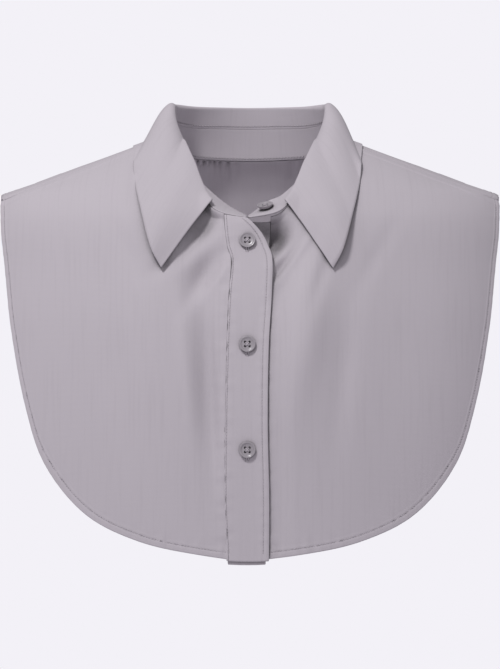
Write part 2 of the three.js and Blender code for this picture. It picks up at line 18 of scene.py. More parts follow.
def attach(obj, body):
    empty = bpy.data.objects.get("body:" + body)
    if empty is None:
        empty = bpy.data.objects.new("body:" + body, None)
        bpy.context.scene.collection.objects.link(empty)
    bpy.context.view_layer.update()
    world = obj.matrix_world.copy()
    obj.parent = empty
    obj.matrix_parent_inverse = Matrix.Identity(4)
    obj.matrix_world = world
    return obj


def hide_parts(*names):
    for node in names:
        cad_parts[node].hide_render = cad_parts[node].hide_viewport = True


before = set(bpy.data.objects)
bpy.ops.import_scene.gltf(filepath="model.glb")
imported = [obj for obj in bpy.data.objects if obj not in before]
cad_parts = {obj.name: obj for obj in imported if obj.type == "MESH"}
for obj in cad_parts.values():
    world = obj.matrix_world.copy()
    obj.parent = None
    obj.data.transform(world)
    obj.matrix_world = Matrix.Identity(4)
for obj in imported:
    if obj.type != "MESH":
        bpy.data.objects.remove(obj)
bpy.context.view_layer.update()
log = logging.getLogger("collar")

Points = np.ndarray
Line = Callable[[np.ndarray], Points]
MM = 0.001
# A search by halving ends after so many steps, far below a thread's width.
HALVINGS = 34

# Sections of the body form: share of the length down, half width, front depth, back depth.
BODY_SECTIONS = np.array([
    (0.0, 0.357, 0.17, 0.39), (0.018, 0.446, 0.277, 0.485), (0.058, 0.621, 0.387, 0.64),
    (0.11, 0.851, 0.496, 0.753), (0.145, 1.0, 0.56, 0.804), (0.205, 1.068, 0.672, 0.866),
    (0.31, 1.104, 0.765, 0.948), (0.46, 1.134, 0.874, 1.0), (0.68, 1.155, 0.958, 1.0),
    (1.02, 1.158, 1.0, 0.948),
])


@dataclass(frozen=True)
class Station:
    """One station of the collar, from the centre front round to the centre back.

    base is (side, drop) of the neckline, roll is (side, depth, fall) of the top line, and
    stand is the stand's share of the height. The leaf starts at the share seam and folds
    at the share fold, and lies beside the stand towards the front. turn is the roll's
    radius, cover how far out the leaf is drawn, edge is (side, drop) of its free edge and
    lift how far that stands off.
    """

    base: tuple[float, float]
    roll: tuple[float, float, float]
    stand: float
    back: bool = False
    seam: float = 0.0
    fold: float = 0.0
    beside: float = 0.0
    turn: float = 0.0
    cover: float = 0.0
    edge: tuple[float, float] = (0.0, 0.0)
    lift: float = 0.0


STATIONS = (
    Station((0, 1), (0, 1, 1.003), 1),
    Station((0.279, 0.944), (0.26, 0.95, 0.915), 1),
    Station((0.43, 0.85), (0.47, 0.86, 0.81), 1, False, 0, 0.05, 1.6, 0.5, 1.6, (0.717, 1), 0.4),
    Station((0.707, 0.58), (0.7, 0.7, 0.665), 1, False, 0.6, 0.93, 1, 0.8, 1.5, (0.8, 0.86), 1.2),
    Station((0.866, 0.287), (0.862, 0.41, 0.505), 0.97, False, 0.82, 1, 1, 1.4, 1.8, (0.885, 0.62), 0.6),
    Station((0.966, 0.087), (0.957, 0.155, 0.225), 0.7, False, 0.76, 1, 0.3, 2.1, 2.0, (0.96, 0.37), 0.0),
    Station((1, 0), (1, -0.09, 0.033), 0.66, False, 0.66, 1, 0, 2.4, 2.0, (0.98, 0.2), 0.0),
    Station((0.943, 0.45), (0.956, 0.41, 0.015), 0.61, True, 0.61, 1, 0, 2.2, 2.0, (0.96, 0.29), 0.0),
    Station((0.707, 0.84), (0.734, 0.72, 0.01), 0.59, True, 0.59, 1, 0, 1.1, 1.8, (0.87, 0.62), 0.1),
    Station((0.371, 0.96), (0.375, 0.93, 0.005), 0.6, True, 0.6, 1, 0, 0.6, 1.6, (0.47, 0.89), 0.1),
    Station((0, 1), (0, 1, 0.005), 0.6, True, 0.6, 1, 0, 0.55, 1.6, (0, 1), 0.1),
)
LEAF_FIRST = 2
LAST_STATION = 2 * (len(STATIONS) - 1)
LEAF_START = LEAF_FIRST / LAST_STATION

# The front's free edge from the shoulder's tip to the hem's centre: (side, down) shares.
FRONT_OUTLINE = (
    (0.988, 0.154), (0.991, 0.214), (0.967, 0.335), (0.939, 0.468), (0.88, 0.645),
    (0.81, 0.775), (0.668, 0.889), (0.488, 0.952), (0.265, 0.986), (0.0, 1.001),
)


class PlacketColumn(Enum):
    """The placket's four lines, as columns of PLACKET_LINES."""

    EDGE = 1
    SEAM = 2
    UNDER_EDGE = 3
    UNDER_SEAM = 4


# Share of the length down, then each line's distance from the closing line in placket widths.
PLACKET_LINES = (
    (0.204, 0.0, -0.547, 0.06, 0.547), (0.239, 0.36, -0.516, -0.2, 0.547),
    (0.271, 0.506, -0.469, -0.44, 0.5), (0.308, 0.594, -0.38, -0.5, 0.47),
    (0.39, 0.57, -0.44, -0.5, 0.45), (0.508, 0.497, -0.49, -0.5, 0.42),
    (0.677, 0.472, -0.53, -0.5, 0.4), (0.862, 0.506, -0.54, -0.48, 0.42),
    (1.0, 0.497, -0.47, -0.45, 0.42),
)


@dataclass(frozen=True)
class Fold:
    """One soft fold of the front: its centre and size in mm, lean in degrees, height in mm."""

    x: float
    z: float
    width: float
    length: float
    lean: float
    height: float


FOLDS = (
    Fold(-33.7, -198, 9.8, 65, 2, -3.1),
    Fold(-32.3, -105.6, 14.7, 24.4, -35, -3.4),
    Fold(-76.4, -107.3, 31.4, 97.5, 6, 3.4),
    Fold(37.2, -162.5, 16.7, 71.5, -8, 3.7),
    Fold(31.4, -107.3, 8.8, 32.5, -28, -3.1),
    Fold(107.8, -178.8, 33.3, 97.5, -6, -2.4),
    Fold(-137.2, -195, 31.4, 97.5, 8, -2.0),
    Fold(19.6, -76.4, 14.7, 14.6, -25, -5.1),
)

# The underlap sinks in beside the closing.
UNDER_FOLDS = (Fold(15, -79, 16, 15, -28, -11.0),)

# Narrower folds that only the cloth shows, too fine for the plain solids below it.
FINE_FOLDS = (
    Fold(-37, -72, 10, 19, -34, -9.0), Fold(-50, -92, 6, 12, -34, -2.5),
    Fold(-66, -103, 6, 12, -50, -2.0), Fold(-34, -104, 9, 20, -38, -3.6),
    Fold(20, -80, 7, 13, -32, -5.0), Fold(26, -101, 4.4, 17, -38, -4.2), Fold(35, -95, 3.6, 20, -36, 2.0),
    Fold(46, -152, 14, 46, -8, 3.2), Fold(54, -112, 5, 26, -18, -1.4), Fold(-22, -110, 4, 18, -34, 1.4),
    Fold(-32, -190, 7, 58, 2, -3.2), Fold(-42, -120, 6, 22, -28, -1.8), Fold(-27, -225, 4, 44, 1, -1.4),
    Fold(-48, -180, 6, 50, 5, 1.6), Fold(-92, -92, 6, 30, 28, -0.8), Fold(96, -96, 7, 32, -30, -0.9),
    Fold(70, -190, 9, 60, -6, -1.6), Fold(-100, -200, 12, 70, 8, -1.2),
)


def smooth_at(xs: np.ndarray, ys: np.ndarray, x: np.ndarray) -> np.ndarray:
    """Reads a smooth curve through table rows.

    Args:
        xs: The rows' places, rising.
        ys: The rows' values.
        x: Where to read.

    Returns:
        The curve's value at each x, straight before the first row and flat past the last.
    """
    x = np.asarray(x, float)
    last = len(xs) - 1
    low = np.maximum(np.arange(last + 1) - 1, 0)
    high = np.minimum(np.arange(last + 1) + 1, last)
    slope = (ys[high] - ys[low]) / (xs[high] - xs[low])
    i = np.clip(np.searchsorted(xs, x) - 1, 0, last - 1)
    step = xs[i + 1] - xs[i]
    t = (x - xs[i]) / step
    rise = t * t * (3 - 2 * t)
    value = ys[i] * (1 - rise) + ys[i + 1] * rise
    value = value + step * t * (1 - t) * (slope[i] * (1 - t) - slope[i + 1] * t)
    before = ys[0] + (ys[1] - ys[0]) / (xs[1] - xs[0]) * (x - xs[0])
    return np.where(x <= xs[0], before, np.where(x >= xs[last], ys[last], value))


def smooth_step(t: np.ndarray) -> np.ndarray:
    """Eases from 0 to 1 as t goes from 0 to 1."""
    t = np.clip(t, 0, 1)
    return t * t * (3 - 2 * t)


def bell(distance: np.ndarray, width: float) -> np.ndarray:
    """A smooth bump of height 1 that fades over a width."""
    return np.exp(-((distance / width) ** 2))


def unit(v: Points) -> Points:
    """Scales vectors to length 1."""
    return v / np.maximum(np.linalg.norm(v, axis=-1, keepdims=True), 1e-12)


def ripple(s: np.ndarray, pitch: float, seed: float) -> np.ndarray:
    """An uneven wave along a length, between about -1 and 1.

    Args:
        s: The length in mm.
        pitch: The mean distance between crests in mm.
        seed: Shifts the wave, so that no two rows are alike.

    Returns:
        The wave's height at each place.
    """
    k = 2 * math.pi / pitch
    wave = np.sin(k * s + seed) + 0.7 * np.sin(0.63 * k * s + 2.1 * seed)
    return (wave + 0.5 * np.sin(1.57 * k * s + 3.7 * seed)) / 1.8


def curve_through(points: Points) -> Line:
    """Makes a smooth curve through points.

    Args:
        points: The points, one a row.

    Returns:
        A function from shares 0 to 1 to points on the curve.
    """
    p = np.asarray(points, float)
    p = np.vstack([2 * p[0] - p[1], p, 2 * p[-1] - p[-2]])
    count = len(points)

    def at(t: np.ndarray) -> Points:
        place = np.clip(np.asarray(t, float), 0, 1) * (count - 1)
        i = np.minimum(place.astype(int), count - 2)
        w = (place - i)[..., None]
        a, b, c, d = p[i], p[i + 1], p[i + 2], p[i + 3]
        start, end = 0.5 * (c - a), 0.5 * (d - b)
        square = -3 * b + 3 * c - 2 * start - end
        cube = 2 * b - 2 * c + start + end
        return b + start * w + square * w**2 + cube * w**3

    return at


@dataclass(frozen=True)
class BodyForm:
    """The rounded form that all the cloth lies on."""

    half_width: float = 196.0
    front_length: float = 325.0
    back_length: float = 302.0
    chest_depth: float = 119.0
    back_depth: float = 97.0

    @property
    def centre(self) -> np.ndarray:
        """A point inside the chest that points are drawn towards."""
        return np.array([0.0, 0.0, -0.4 * self.front_length])

    def half(self, z: np.ndarray) -> np.ndarray:
        """The form's half width at a height."""
        return smooth_at(BODY_SECTIONS[:, 0] * self.front_length, BODY_SECTIONS[:, 1] * self.half_width, -z)

    def depth(self, z: np.ndarray, back: bool) -> np.ndarray:
        """The form's depth at a height, at the back or the front."""
        column, size = (3, self.back_depth) if back else (2, self.chest_depth)
        return smooth_at(BODY_SECTIONS[:, 0] * self.front_length, BODY_SECTIONS[:, column] * size, -z)

    def share(self, p: Points) -> np.ndarray:
        """How far out points lie: 1 on the form's surface."""
        x, y, z = p[..., 0], p[..., 1], p[..., 2]
        depth = np.where(y < 0, self.depth(z, False), self.depth(z, True))
        return np.hypot(x / self.half(z), y / depth)

    def point(self, x: np.ndarray, z: np.ndarray, back: bool = False) -> Points:
        """The surface at points of the front or back view."""
        x, z = np.broadcast_arrays(np.asarray(x, float), np.asarray(z, float))
        y = self.depth(z, back) * np.sqrt(np.maximum(0, 1 - (x / self.half(z)) ** 2))
        return np.stack([x, y if back else -y, z], axis=-1)

    def onto(self, p: Points) -> Points:
        """Moves points to the surface, along rays from inside the chest."""
        ray = p - self.centre
        near, far = np.full(p.shape[:-1], 0.2), np.full(p.shape[:-1], 3.0)
        for _ in range(HALVINGS):
            middle = (near + far) / 2
            q = self.centre + ray * middle[..., None]
            inside = (self.share(q) < 1) & (q[..., 2] < 0.02 * self.front_length)
            near, far = np.where(inside, middle, near), np.where(inside, far, middle)
        return self.centre + ray * near[..., None]

    def normal(self, p: Points) -> Points:
        """The surface's outward direction at points."""
        reach = 0.5
        parts = [self.share(p + step) - self.share(p - step) for step in np.eye(3) * reach]
        return unit(np.stack(parts, axis=-1))

    def around(self, x: np.ndarray, z: np.ndarray) -> np.ndarray:
        """The length round the front or back from the middle to x, in mm."""
        steps = np.linspace(0, 1, 17)
        line = self.point(x[..., None] * steps, z[..., None] * np.ones(17))
        return np.sign(x) * np.linalg.norm(np.diff(line, axis=-2), axis=-1).sum(axis=-1)


BODY = BodyForm()


def fold_relief(p: Points, folds: tuple[Fold, ...] = FOLDS) -> np.ndarray:
    """How far the front's cloth stands out of the form in folds, in mm."""
    relief = np.zeros(p.shape[:-1])
    for fold in folds:
        lean = math.radians(fold.lean)
        dx, dz = p[..., 0] - fold.x, p[..., 2] - fold.z
        across = (dx * math.cos(lean) + dz * math.sin(lean)) / fold.width
        along = (dz * math.cos(lean) - dx * math.sin(lean)) / fold.length
        relief += fold.height * np.exp(-(across**2) - along**2)
    return relief


@dataclass(frozen=True)
class CollarLines:
    """The collar's neckline, roll and free edge, read by place from 0 to 1.

    Place 0 is the centre front of the wearer's left, and 1 that of the right.
    """

    neck_half_width: float = 70.0
    neck_front_drop: float = 66.5
    neck_back_drop: float = 15.0
    roll_half_width: float = 58.6
    roll_height: float = 28.0
    roll_front_drop: float = 64.3
    roll_front_depth: float = 58.0
    roll_back_depth: float = 54.0
    leaf_reach: float = 90.0
    leaf_sway: float = -2.0
    leaf_point_drop: float = 106.0
    leaf_back_drop: float = 30.0
    leaf_lift: float = 5.0
    closing_line: float = -2.0
    edge_rest: float = 0.95

    def both_sides(self, column: Callable[[Station, int], np.ndarray]) -> np.ndarray:
        """Reads a column of the stations for the right side and back along the left."""
        right = [column(row, 1) for row in STATIONS]
        left = [column(row, -1) for row in STATIONS[:-1]]
        return np.array(right + left[::-1], float)

    def _shift(self, row: Station) -> float:
        """The front's centre lies a little to one side, where the fronts meet."""
        return 0.0 if row.back else self.closing_line * (1 - row.base[0])

    def _base(self, row: Station, side: int) -> np.ndarray:
        """The neckline's point at a station."""
        drop = self.neck_back_drop if row.back else self.neck_front_drop
        x = self._shift(row) + side * row.base[0] * self.neck_half_width
        return BODY.point(x, -row.base[1] * drop, row.back)

    def _roll(self, row: Station, side: int) -> np.ndarray:
        """The roll's point at a station."""
        depth = self.roll_back_depth if row.back else -self.roll_front_depth
        x = self._shift(row) + side * row.roll[0] * self.roll_half_width
        fall = row.roll[2] * (self.roll_height + self.roll_front_drop)
        return np.array([x, depth * row.roll[1], self.roll_height - fall])

    def _edge(self, row: Station, side: int) -> np.ndarray:
        """The leaf's free edge at a station."""
        drop = self.leaf_back_drop if row.back else self.leaf_point_drop
        x = side * row.edge[0] * self.leaf_reach + self.leaf_sway
        p = BODY.point(x, -row.edge[1] * drop, row.back)
        return p + BODY.normal(p) * (row.lift * self.leaf_lift + self.edge_rest)

    def base(self, place: np.ndarray) -> Points:
        """The neckline on the body form."""
        return BODY.onto(BASE_CURVE(place))

    def frames(self, place: np.ndarray) -> tuple[Points, Points, Points, Points]:
        """The collar's own directions.

        Args:
            place: Places from 0 to 1.

        Returns:
            The base, the roll, the way up the stand, and the way out of its outer face.
        """
        reach = 0.004
        base, roll = self.base(place), ROLL_CURVE(place)
        up = unit(roll - base)
        ahead = BASE_CURVE(np.minimum(place + reach, 1))
        behind = BASE_CURVE(np.maximum(place - reach, 0))
        return base, roll, up, unit(np.cross(ahead - behind, up))

    def neckline(self, place: np.ndarray, away: np.ndarray | float) -> Points:
        """The neckline, moved down the body away from the stand."""
        base, _, up, _ = self.frames(place)
        return BODY.onto(base - up * np.asarray(away)[..., None])

    def place_at(self, x: float, side: int) -> float:
        """The place on one half of the neckline's front that lies at x."""
        near, far = (1.0, 0.8) if side < 0 else (0.0, 0.2)
        for _ in range(HALVINGS):
            middle = (near + far) / 2
            if side * (self.base(np.array([middle]))[0, 0] - x) < 0:
                near = middle
            else:
                far = middle
        return near

    def station_value(self, name: str, place: np.ndarray) -> np.ndarray:
        """A station's number, smooth between stations."""
        values = self.both_sides(lambda row, side: getattr(row, name))
        return smooth_at(np.arange(LAST_STATION + 1) / LAST_STATION, values, place)


COLLAR = CollarLines()
BASE_CURVE = curve_through(COLLAR.both_sides(COLLAR._base))
ROLL_CURVE = curve_through(COLLAR.both_sides(COLLAR._roll))
EDGE_CURVE = curve_through(COLLAR.both_sides(COLLAR._edge)[LEAF_FIRST:LAST_STATION - LEAF_FIRST + 1])
SEAM_PLACE = {1: 5.6 / LAST_STATION, -1: 1 - 5.6 / LAST_STATION}
PLACKET_WIDTH = 32.0
LAYER_GAP = 0.3
# The leaf's seam is drawn nearly shut, as sewn cloth is.
SEAM_LINE = 0.03
SEAM_GAP = 0.6
UNDER_DIP = 1.6
# How far the stand's top leans out beside the closing, and the place where it ends.
TAB_TILT = 3.0
TAB_END = 0.1
# The front buttons' drops, and the neck button's x and its way out from the stand.
FRONT_BUTTONS = (("top", 84.0), ("middle", 163.0), ("bottom", 242.0))
NECK_BUTTON_X = 14.2
NECK_BUTTON_OUT = 2.2
# A wall's rim stands this share of its thickness beyond the grid.
RIM_SHARE = 0.35
# The rough outward direction of the front pieces.
FORWARDS = np.array([0, -1.0, 0])
POINTS_AT_ONCE = 4096


def shoulder_seam(side: int, gap: float) -> Line:
    """The forward shoulder seam, a straight line of the front view."""
    top = COLLAR.neckline(np.array([SEAM_PLACE[side]]), SEAM_GAP)[0]
    end = BODY.point(side * FRONT_OUTLINE[0][0] * BODY.half_width, -FRONT_OUTLINE[0][1] * BODY.front_length)

    def at(t: np.ndarray) -> Points:
        return BODY.point(top[0] + (end[0] - top[0]) * t, top[2] + (end[2] - top[2]) * t - gap)

    return at


def placket_line(column: PlacketColumn, first_place: float) -> Line:
    """One of the placket's lines, from the neckline to the hem."""
    rows = PLACKET_LINES[1:]
    x = np.array([COLLAR.closing_line + row[column.value] * PLACKET_WIDTH for row in rows])
    z = np.array([-row[0] * BODY.front_length for row in rows])
    return curve_through(np.vstack([COLLAR.base(np.array([first_place])), BODY.point(x, z)]))


def spaced(count: int, ends: float = 0.45) -> np.ndarray:
    """Shares from 0 to 1 that stand closer near both ends, where seams and hems are."""
    t = np.linspace(0, 1, count + 1)
    return t - ends * np.sin(2 * math.pi * t) / (2 * math.pi)


def body_patch(top: Line, bottom: Line, left: Line, right: Line, u: np.ndarray, v: np.ndarray) -> Points:
    """Fills a patch of the body form between four lines.

    Args:
        top: The upper line, from left to right.
        bottom: The lower line, from left to right.
        left: The left line, downwards.
        right: The right line, downwards.
        u: Shares across.
        v: Shares down.

    Returns:
        A grid of points on the form, one row for each v.
    """
    uu, vv = u[None, :, None], v[:, None, None]
    p = top(u)[None] * (1 - vv) + bottom(u)[None] * vv
    p = p + left(v)[:, None] * (1 - uu) + right(v)[:, None] * uu
    ends = np.array([0.0, 1.0])
    (a, b), (c, d) = top(ends), bottom(ends)
    p = p - a * (1 - uu) * (1 - vv) - b * uu * (1 - vv) - c * (1 - uu) * vv - d * uu * vv
    return BODY.onto(p)


def lengths_along(line: Points) -> np.ndarray:
    """The length along a line from its start to each of its points."""
    return np.concatenate([[0], np.cumsum(np.linalg.norm(np.diff(line, axis=0), axis=1))])


def strip_flat(line: Points, height: np.ndarray) -> Points:
    """Weave coordinates of a strip: the length along a line of it, and the height."""
    return np.stack([np.broadcast_to(lengths_along(line)[:, None], height.shape), height], axis=-1)


def front_flat(patch: Points) -> Points:
    """Weave coordinates of a front piece: the length round the form, and the height."""
    return np.stack([BODY.around(patch[..., 0], patch[..., 2]), patch[..., 2]], axis=-1)


def nearest(p: Points, line: Points) -> tuple[np.ndarray, np.ndarray]:
    """Finds the nearest place of a line for each point.

    Args:
        p: Points in any grid.
        line: The line's points, close together.

    Returns:
        The distance to the line, and the length along it at the nearest place.
    """
    along = lengths_along(line)
    flat = p.reshape(-1, 3)
    distance, place = np.empty(len(flat)), np.empty(len(flat))
    square = (line**2).sum(axis=1)
    for start in range(0, len(flat), POINTS_AT_ONCE):
        part = flat[start:start + POINTS_AT_ONCE]
        gaps = (part**2).sum(axis=1)[:, None] + square - 2 * part @ line.T
        i = gaps.argmin(axis=1)
        distance[start:start + POINTS_AT_ONCE] = np.sqrt(np.maximum(gaps[np.arange(len(part)), i], 0))
        place[start:start + POINTS_AT_ONCE] = along[i]
    return distance.reshape(p.shape[:-1]), place.reshape(p.shape[:-1])


def grid_normals(grid: Points) -> Points:
    """Directions out of a grid, from its rows downwards and columns rightwards."""
    across = np.gradient(grid, axis=1)
    down = np.gradient(grid, axis=0)
    return unit(np.cross(down, across))


def mesh_piece(name: str, points: Points, faces: list) -> bpy.types.Object:
    """Makes a smooth-shaded piece of points in mm and faces."""
    mesh = bpy.data.meshes.new(name)
    mesh.from_pydata((points * MM).tolist(), [], faces)
    mesh.polygons.foreach_set("use_smooth", np.ones(len(mesh.polygons), dtype=bool))
    mesh.update()
    piece = bpy.data.objects.new(name, mesh)
    bpy.context.collection.objects.link(piece)
    return piece


def cloth_wall(name: str, grid: Points, wall: float, outward: Points, flat: Points) -> bpy.types.Object:
    """Makes a closed cloth wall of even thickness about a grid, with rounded edges.

    Args:
        name: The piece's name.
        grid: The wall's middle, one row for each step down.
        wall: The thickness in mm.
        outward: A rough outward direction at the middle of the grid.
        flat: The weave's coordinates in mm at each point of the grid.

    Returns:
        The piece, with the weave's UV map in metres.
    """
    rows, columns = grid.shape[:2]
    normal = grid_normals(grid)
    sign = 1 if (normal[rows // 2, columns // 2] * outward).sum() > 0 else -1
    normal = normal * sign
    outer = grid + normal * wall / 2
    inner = grid - normal * wall / 2
    number = np.arange(rows * columns).reshape(rows, columns)
    ring = np.concatenate([number[0, :-1], number[:-1, -1], number[-1, :0:-1], number[:0:-1, 0]])
    flat_grid = grid.reshape(-1, 3)
    ring_points = flat_grid[ring]
    inside = np.array(
        [(1, c) for c in range(columns - 1)] + [(r, columns - 2) for r in range(rows - 1)]
        + [(rows - 2, c) for c in range(columns - 1, 0, -1)] + [(r, 1) for r in range(rows - 1, 0, -1)])
    away = unit(ring_points - grid[inside[:, 0], inside[:, 1]])
    rim = ring_points + away * wall * RIM_SHARE
    points = np.vstack([outer.reshape(-1, 3), inner.reshape(-1, 3), rim])
    a, b = number[:-1, :-1].ravel(), number[:-1, 1:].ravel()
    c, d = number[1:, 1:].ravel(), number[1:, :-1].ravel()
    base = rows * columns
    front = np.stack([a, d, c, b], axis=1)
    back = np.stack([a, b, c, d], axis=1) + base
    step = len(ring)
    here, there = np.arange(step), (np.arange(step) + 1) % step
    upper = np.stack([ring[here], ring[there], there + 2 * base, here + 2 * base], axis=1)
    lower = np.stack([here + 2 * base, there + 2 * base, ring[there] + base, ring[here] + base], axis=1)
    faces = np.vstack([front, back, upper, lower])
    if sign < 0:
        faces = faces[:, ::-1]
    piece = mesh_piece(name, points, faces.tolist())
    mesh = piece.data
    uv = mesh.uv_layers.new(name="Cloth")
    flat = flat.reshape(-1, 2)
    sheet = np.vstack([flat, flat, flat[ring]]) * MM
    loops = np.empty(len(mesh.loops), dtype=np.int32)
    mesh.loops.foreach_get("vertex_index", loops)
    uv.data.foreach_set("uv", sheet[loops].ravel())
    return piece


def neck_axis(p: Points) -> Points:
    """The neck's axis at the height of points."""
    return np.stack([0 * p[:, 0], np.full(len(p), -2.0), p[:, 2]], axis=1)


class ThreadMesh:
    """Gathers threads, each closed at both ends, into one mesh."""

    def __init__(self) -> None:
        """Starts without a thread."""
        self.verts: list[Points] = []
        self.faces: list[tuple[int, ...]] = []
        self.dive: list[float] = []

    def add(self, rings: Points, dives: list[float]) -> None:
        """Adds one thread.

        Args:
            rings: The thread's rings of corners, from end to end.
            dives: For each ring, 1 where it dives into the cloth and 0 elsewhere.
        """
        start, (count, sides) = len(self.verts), rings.shape[:2]
        self.verts.extend(rings.reshape(-1, 3))
        self.dive.extend(np.repeat(dives, sides))
        for ring in range(count - 1):
            for side in range(sides):
                a, b = (start + ring * sides + k % sides for k in (side, side + 1))
                self.faces.append((a, b, b + sides, a + sides))
        last = start + (count - 1) * sides
        self.faces.append(tuple(start + side for side in reversed(range(sides))))
        self.faces.append(tuple(last + side for side in range(sides)))

    def piece(self, name: str) -> bpy.types.Object:
        """Makes the piece, with a "dive" attribute for its material."""
        piece = mesh_piece(name, np.array(self.verts), self.faces)
        dive = piece.data.attributes.new("dive", "FLOAT", "POINT")
        dive.data.foreach_set("value", np.array(self.dive, dtype=np.float32))
        return piece


@dataclass(frozen=True)
class Stitch:
    """A machine stitch in mm, its length with the gap and its thread's width.

    The thread is drawn two to three times as wide as a real one, so that it shows.
    """

    pitch: float
    width: float


HEM_STITCH = Stitch(2.2, 0.6)
NECK_STITCH = Stitch(2.5, 0.8)
# A stitch's rings: the share along it, the size and the rise in thread widths.
STITCH_SHAPE = (
    (0.0, 0.9, -0.35), (0.12, 1.0, 0.0), (0.26, 1.0, 0.22), (0.5, 1.0, 0.32), (0.74, 1.0, 0.22),
    (0.88, 1.0, 0.0), (1.0, 0.9, -0.35),
)
STITCH_SIDES = 6
STITCH_GAP = 0.1
DIVE_FROM_MIDDLE = 0.35
TUBE_SIDES = 7


def stitch_rows(name: str, rows: list[tuple[Points, Points]], stitch: Stitch) -> bpy.types.Object:
    """Makes rows of machine stitches, each a short thread that dives at both ends.

    Args:
        name: The piece's name.
        rows: A path and its outward directions for each row.
        stitch: The stitch's size.

    Returns:
        The piece.
    """
    pitch, width = stitch.pitch, stitch.width
    threads = ThreadMesh()
    angles = [2 * math.pi * side / STITCH_SIDES for side in range(STITCH_SIDES)]
    dives = [1.0 if abs(share - 0.5) > DIVE_FROM_MIDDLE else 0.0 for share, _, _ in STITCH_SHAPE]
    for path, normal in rows:
        along = lengths_along(path)
        for k in range(int(along[-1] / pitch)):
            ends = (k * pitch + STITCH_GAP * pitch, (k + 1) * pitch - STITCH_GAP * pitch)
            p, q = (np.array([np.interp(s, along, path[:, i]) for i in range(3)]) for s in ends)
            n = unit(np.array([np.interp(sum(ends) / 2, along, normal[:, i]) for i in range(3)]))
            beside = unit(np.cross(n, unit(q - p)))
            around = np.array([beside * math.cos(angle) + n * math.sin(angle) * 0.8 for angle in angles])
            threads.add(np.array([
                p + (q - p) * share + n * rise * width + around * size * width / 2
                for share, size, rise in STITCH_SHAPE]), dives)
    return threads.piece(name)


def tubes(name: str, paths: list[Points], radius: float) -> bpy.types.Object:
    """Makes round threads along paths, all in one piece.

    Args:
        name: The piece's name.
        paths: The threads' middles in mm.
        radius: The threads' radius in mm.

    Returns:
        The piece.
    """
    threads = ThreadMesh()
    angles = (np.arange(TUBE_SIDES) * 2 * math.pi / TUBE_SIDES)[:, None]
    for path in paths:
        way = unit(np.gradient(path, axis=0))
        across = unit(np.cross(way, np.array([0.31, 0.22, 0.92])))[:, None]
        other = np.cross(way, across[:, 0])[:, None]
        rings = path[:, None] + (across * np.cos(angles) + other * np.sin(angles)) * radius
        # Both ends dive into the cloth or the button, where the thread's material paints shade.
        threads.add(rings, [1.0] + [0.0] * (len(path) - 2) + [1.0])
    return threads.piece(name)


def srgb(code: str) -> tuple[float, float, float, float]:
    """Turns an sRGB hex colour to Blender's linear numbers."""
    parts = [int(code[i:i + 2], 16) / 255 for i in (1, 3, 5)]
    linear = [v / 12.92 if v <= 0.04045 else ((v + 0.055) / 1.055) ** 2.4 for v in parts]
    return (*linear, 1.0)


def add_node(tree: bpy.types.NodeTree, kind: str, settings: dict | None = None, **links) -> bpy.types.Node:
    """Adds a node with its settings and links.

    Args:
        tree: The material's node tree.
        kind: The node's type name.
        settings: Properties and input values by name.
        links: Output sockets or values for inputs, by input name with _ for a space.

    Returns:
        The new node.
    """
    node = tree.nodes.new(kind)
    for key, value in (settings or {}).items():
        if hasattr(node, key):
            setattr(node, key, value)
        else:
            node.inputs[key].default_value = value
    for key, source in links.items():
        socket = node.inputs[int(key[1:])] if key[1:].isdigit() else node.inputs[key.replace("_", " ")]
        tree.links.new(source, socket)
    return node


def new_material(name: str) -> tuple[bpy.types.Material, bpy.types.NodeTree]:
    """Makes a material with an empty node tree."""
    material = bpy.data.materials.new(name)
    material.use_nodes = True
    material.node_tree.nodes.clear()
    return material, material.node_tree


def mixed(
        tree: bpy.types.NodeTree, first: str, second: str, share: bpy.types.NodeSocket) -> bpy.types.NodeSocket:
    """Mixes two sRGB hex colours by a share."""
    mix = add_node(tree, "ShaderNodeMix", {"data_type": "RGBA"}, Factor=share)
    mix.inputs[6].default_value = srgb(first)
    mix.inputs[7].default_value = srgb(second)
    return mix.outputs[2]


def surface(tree: bpy.types.NodeTree, settings: dict, **links) -> None:
    """Ends a material in a principled surface with these settings and links."""
    shader = add_node(tree, "ShaderNodeBsdfPrincipled", settings, **links)
    add_node(tree, "ShaderNodeOutputMaterial", None, Surface=shader.outputs[0])


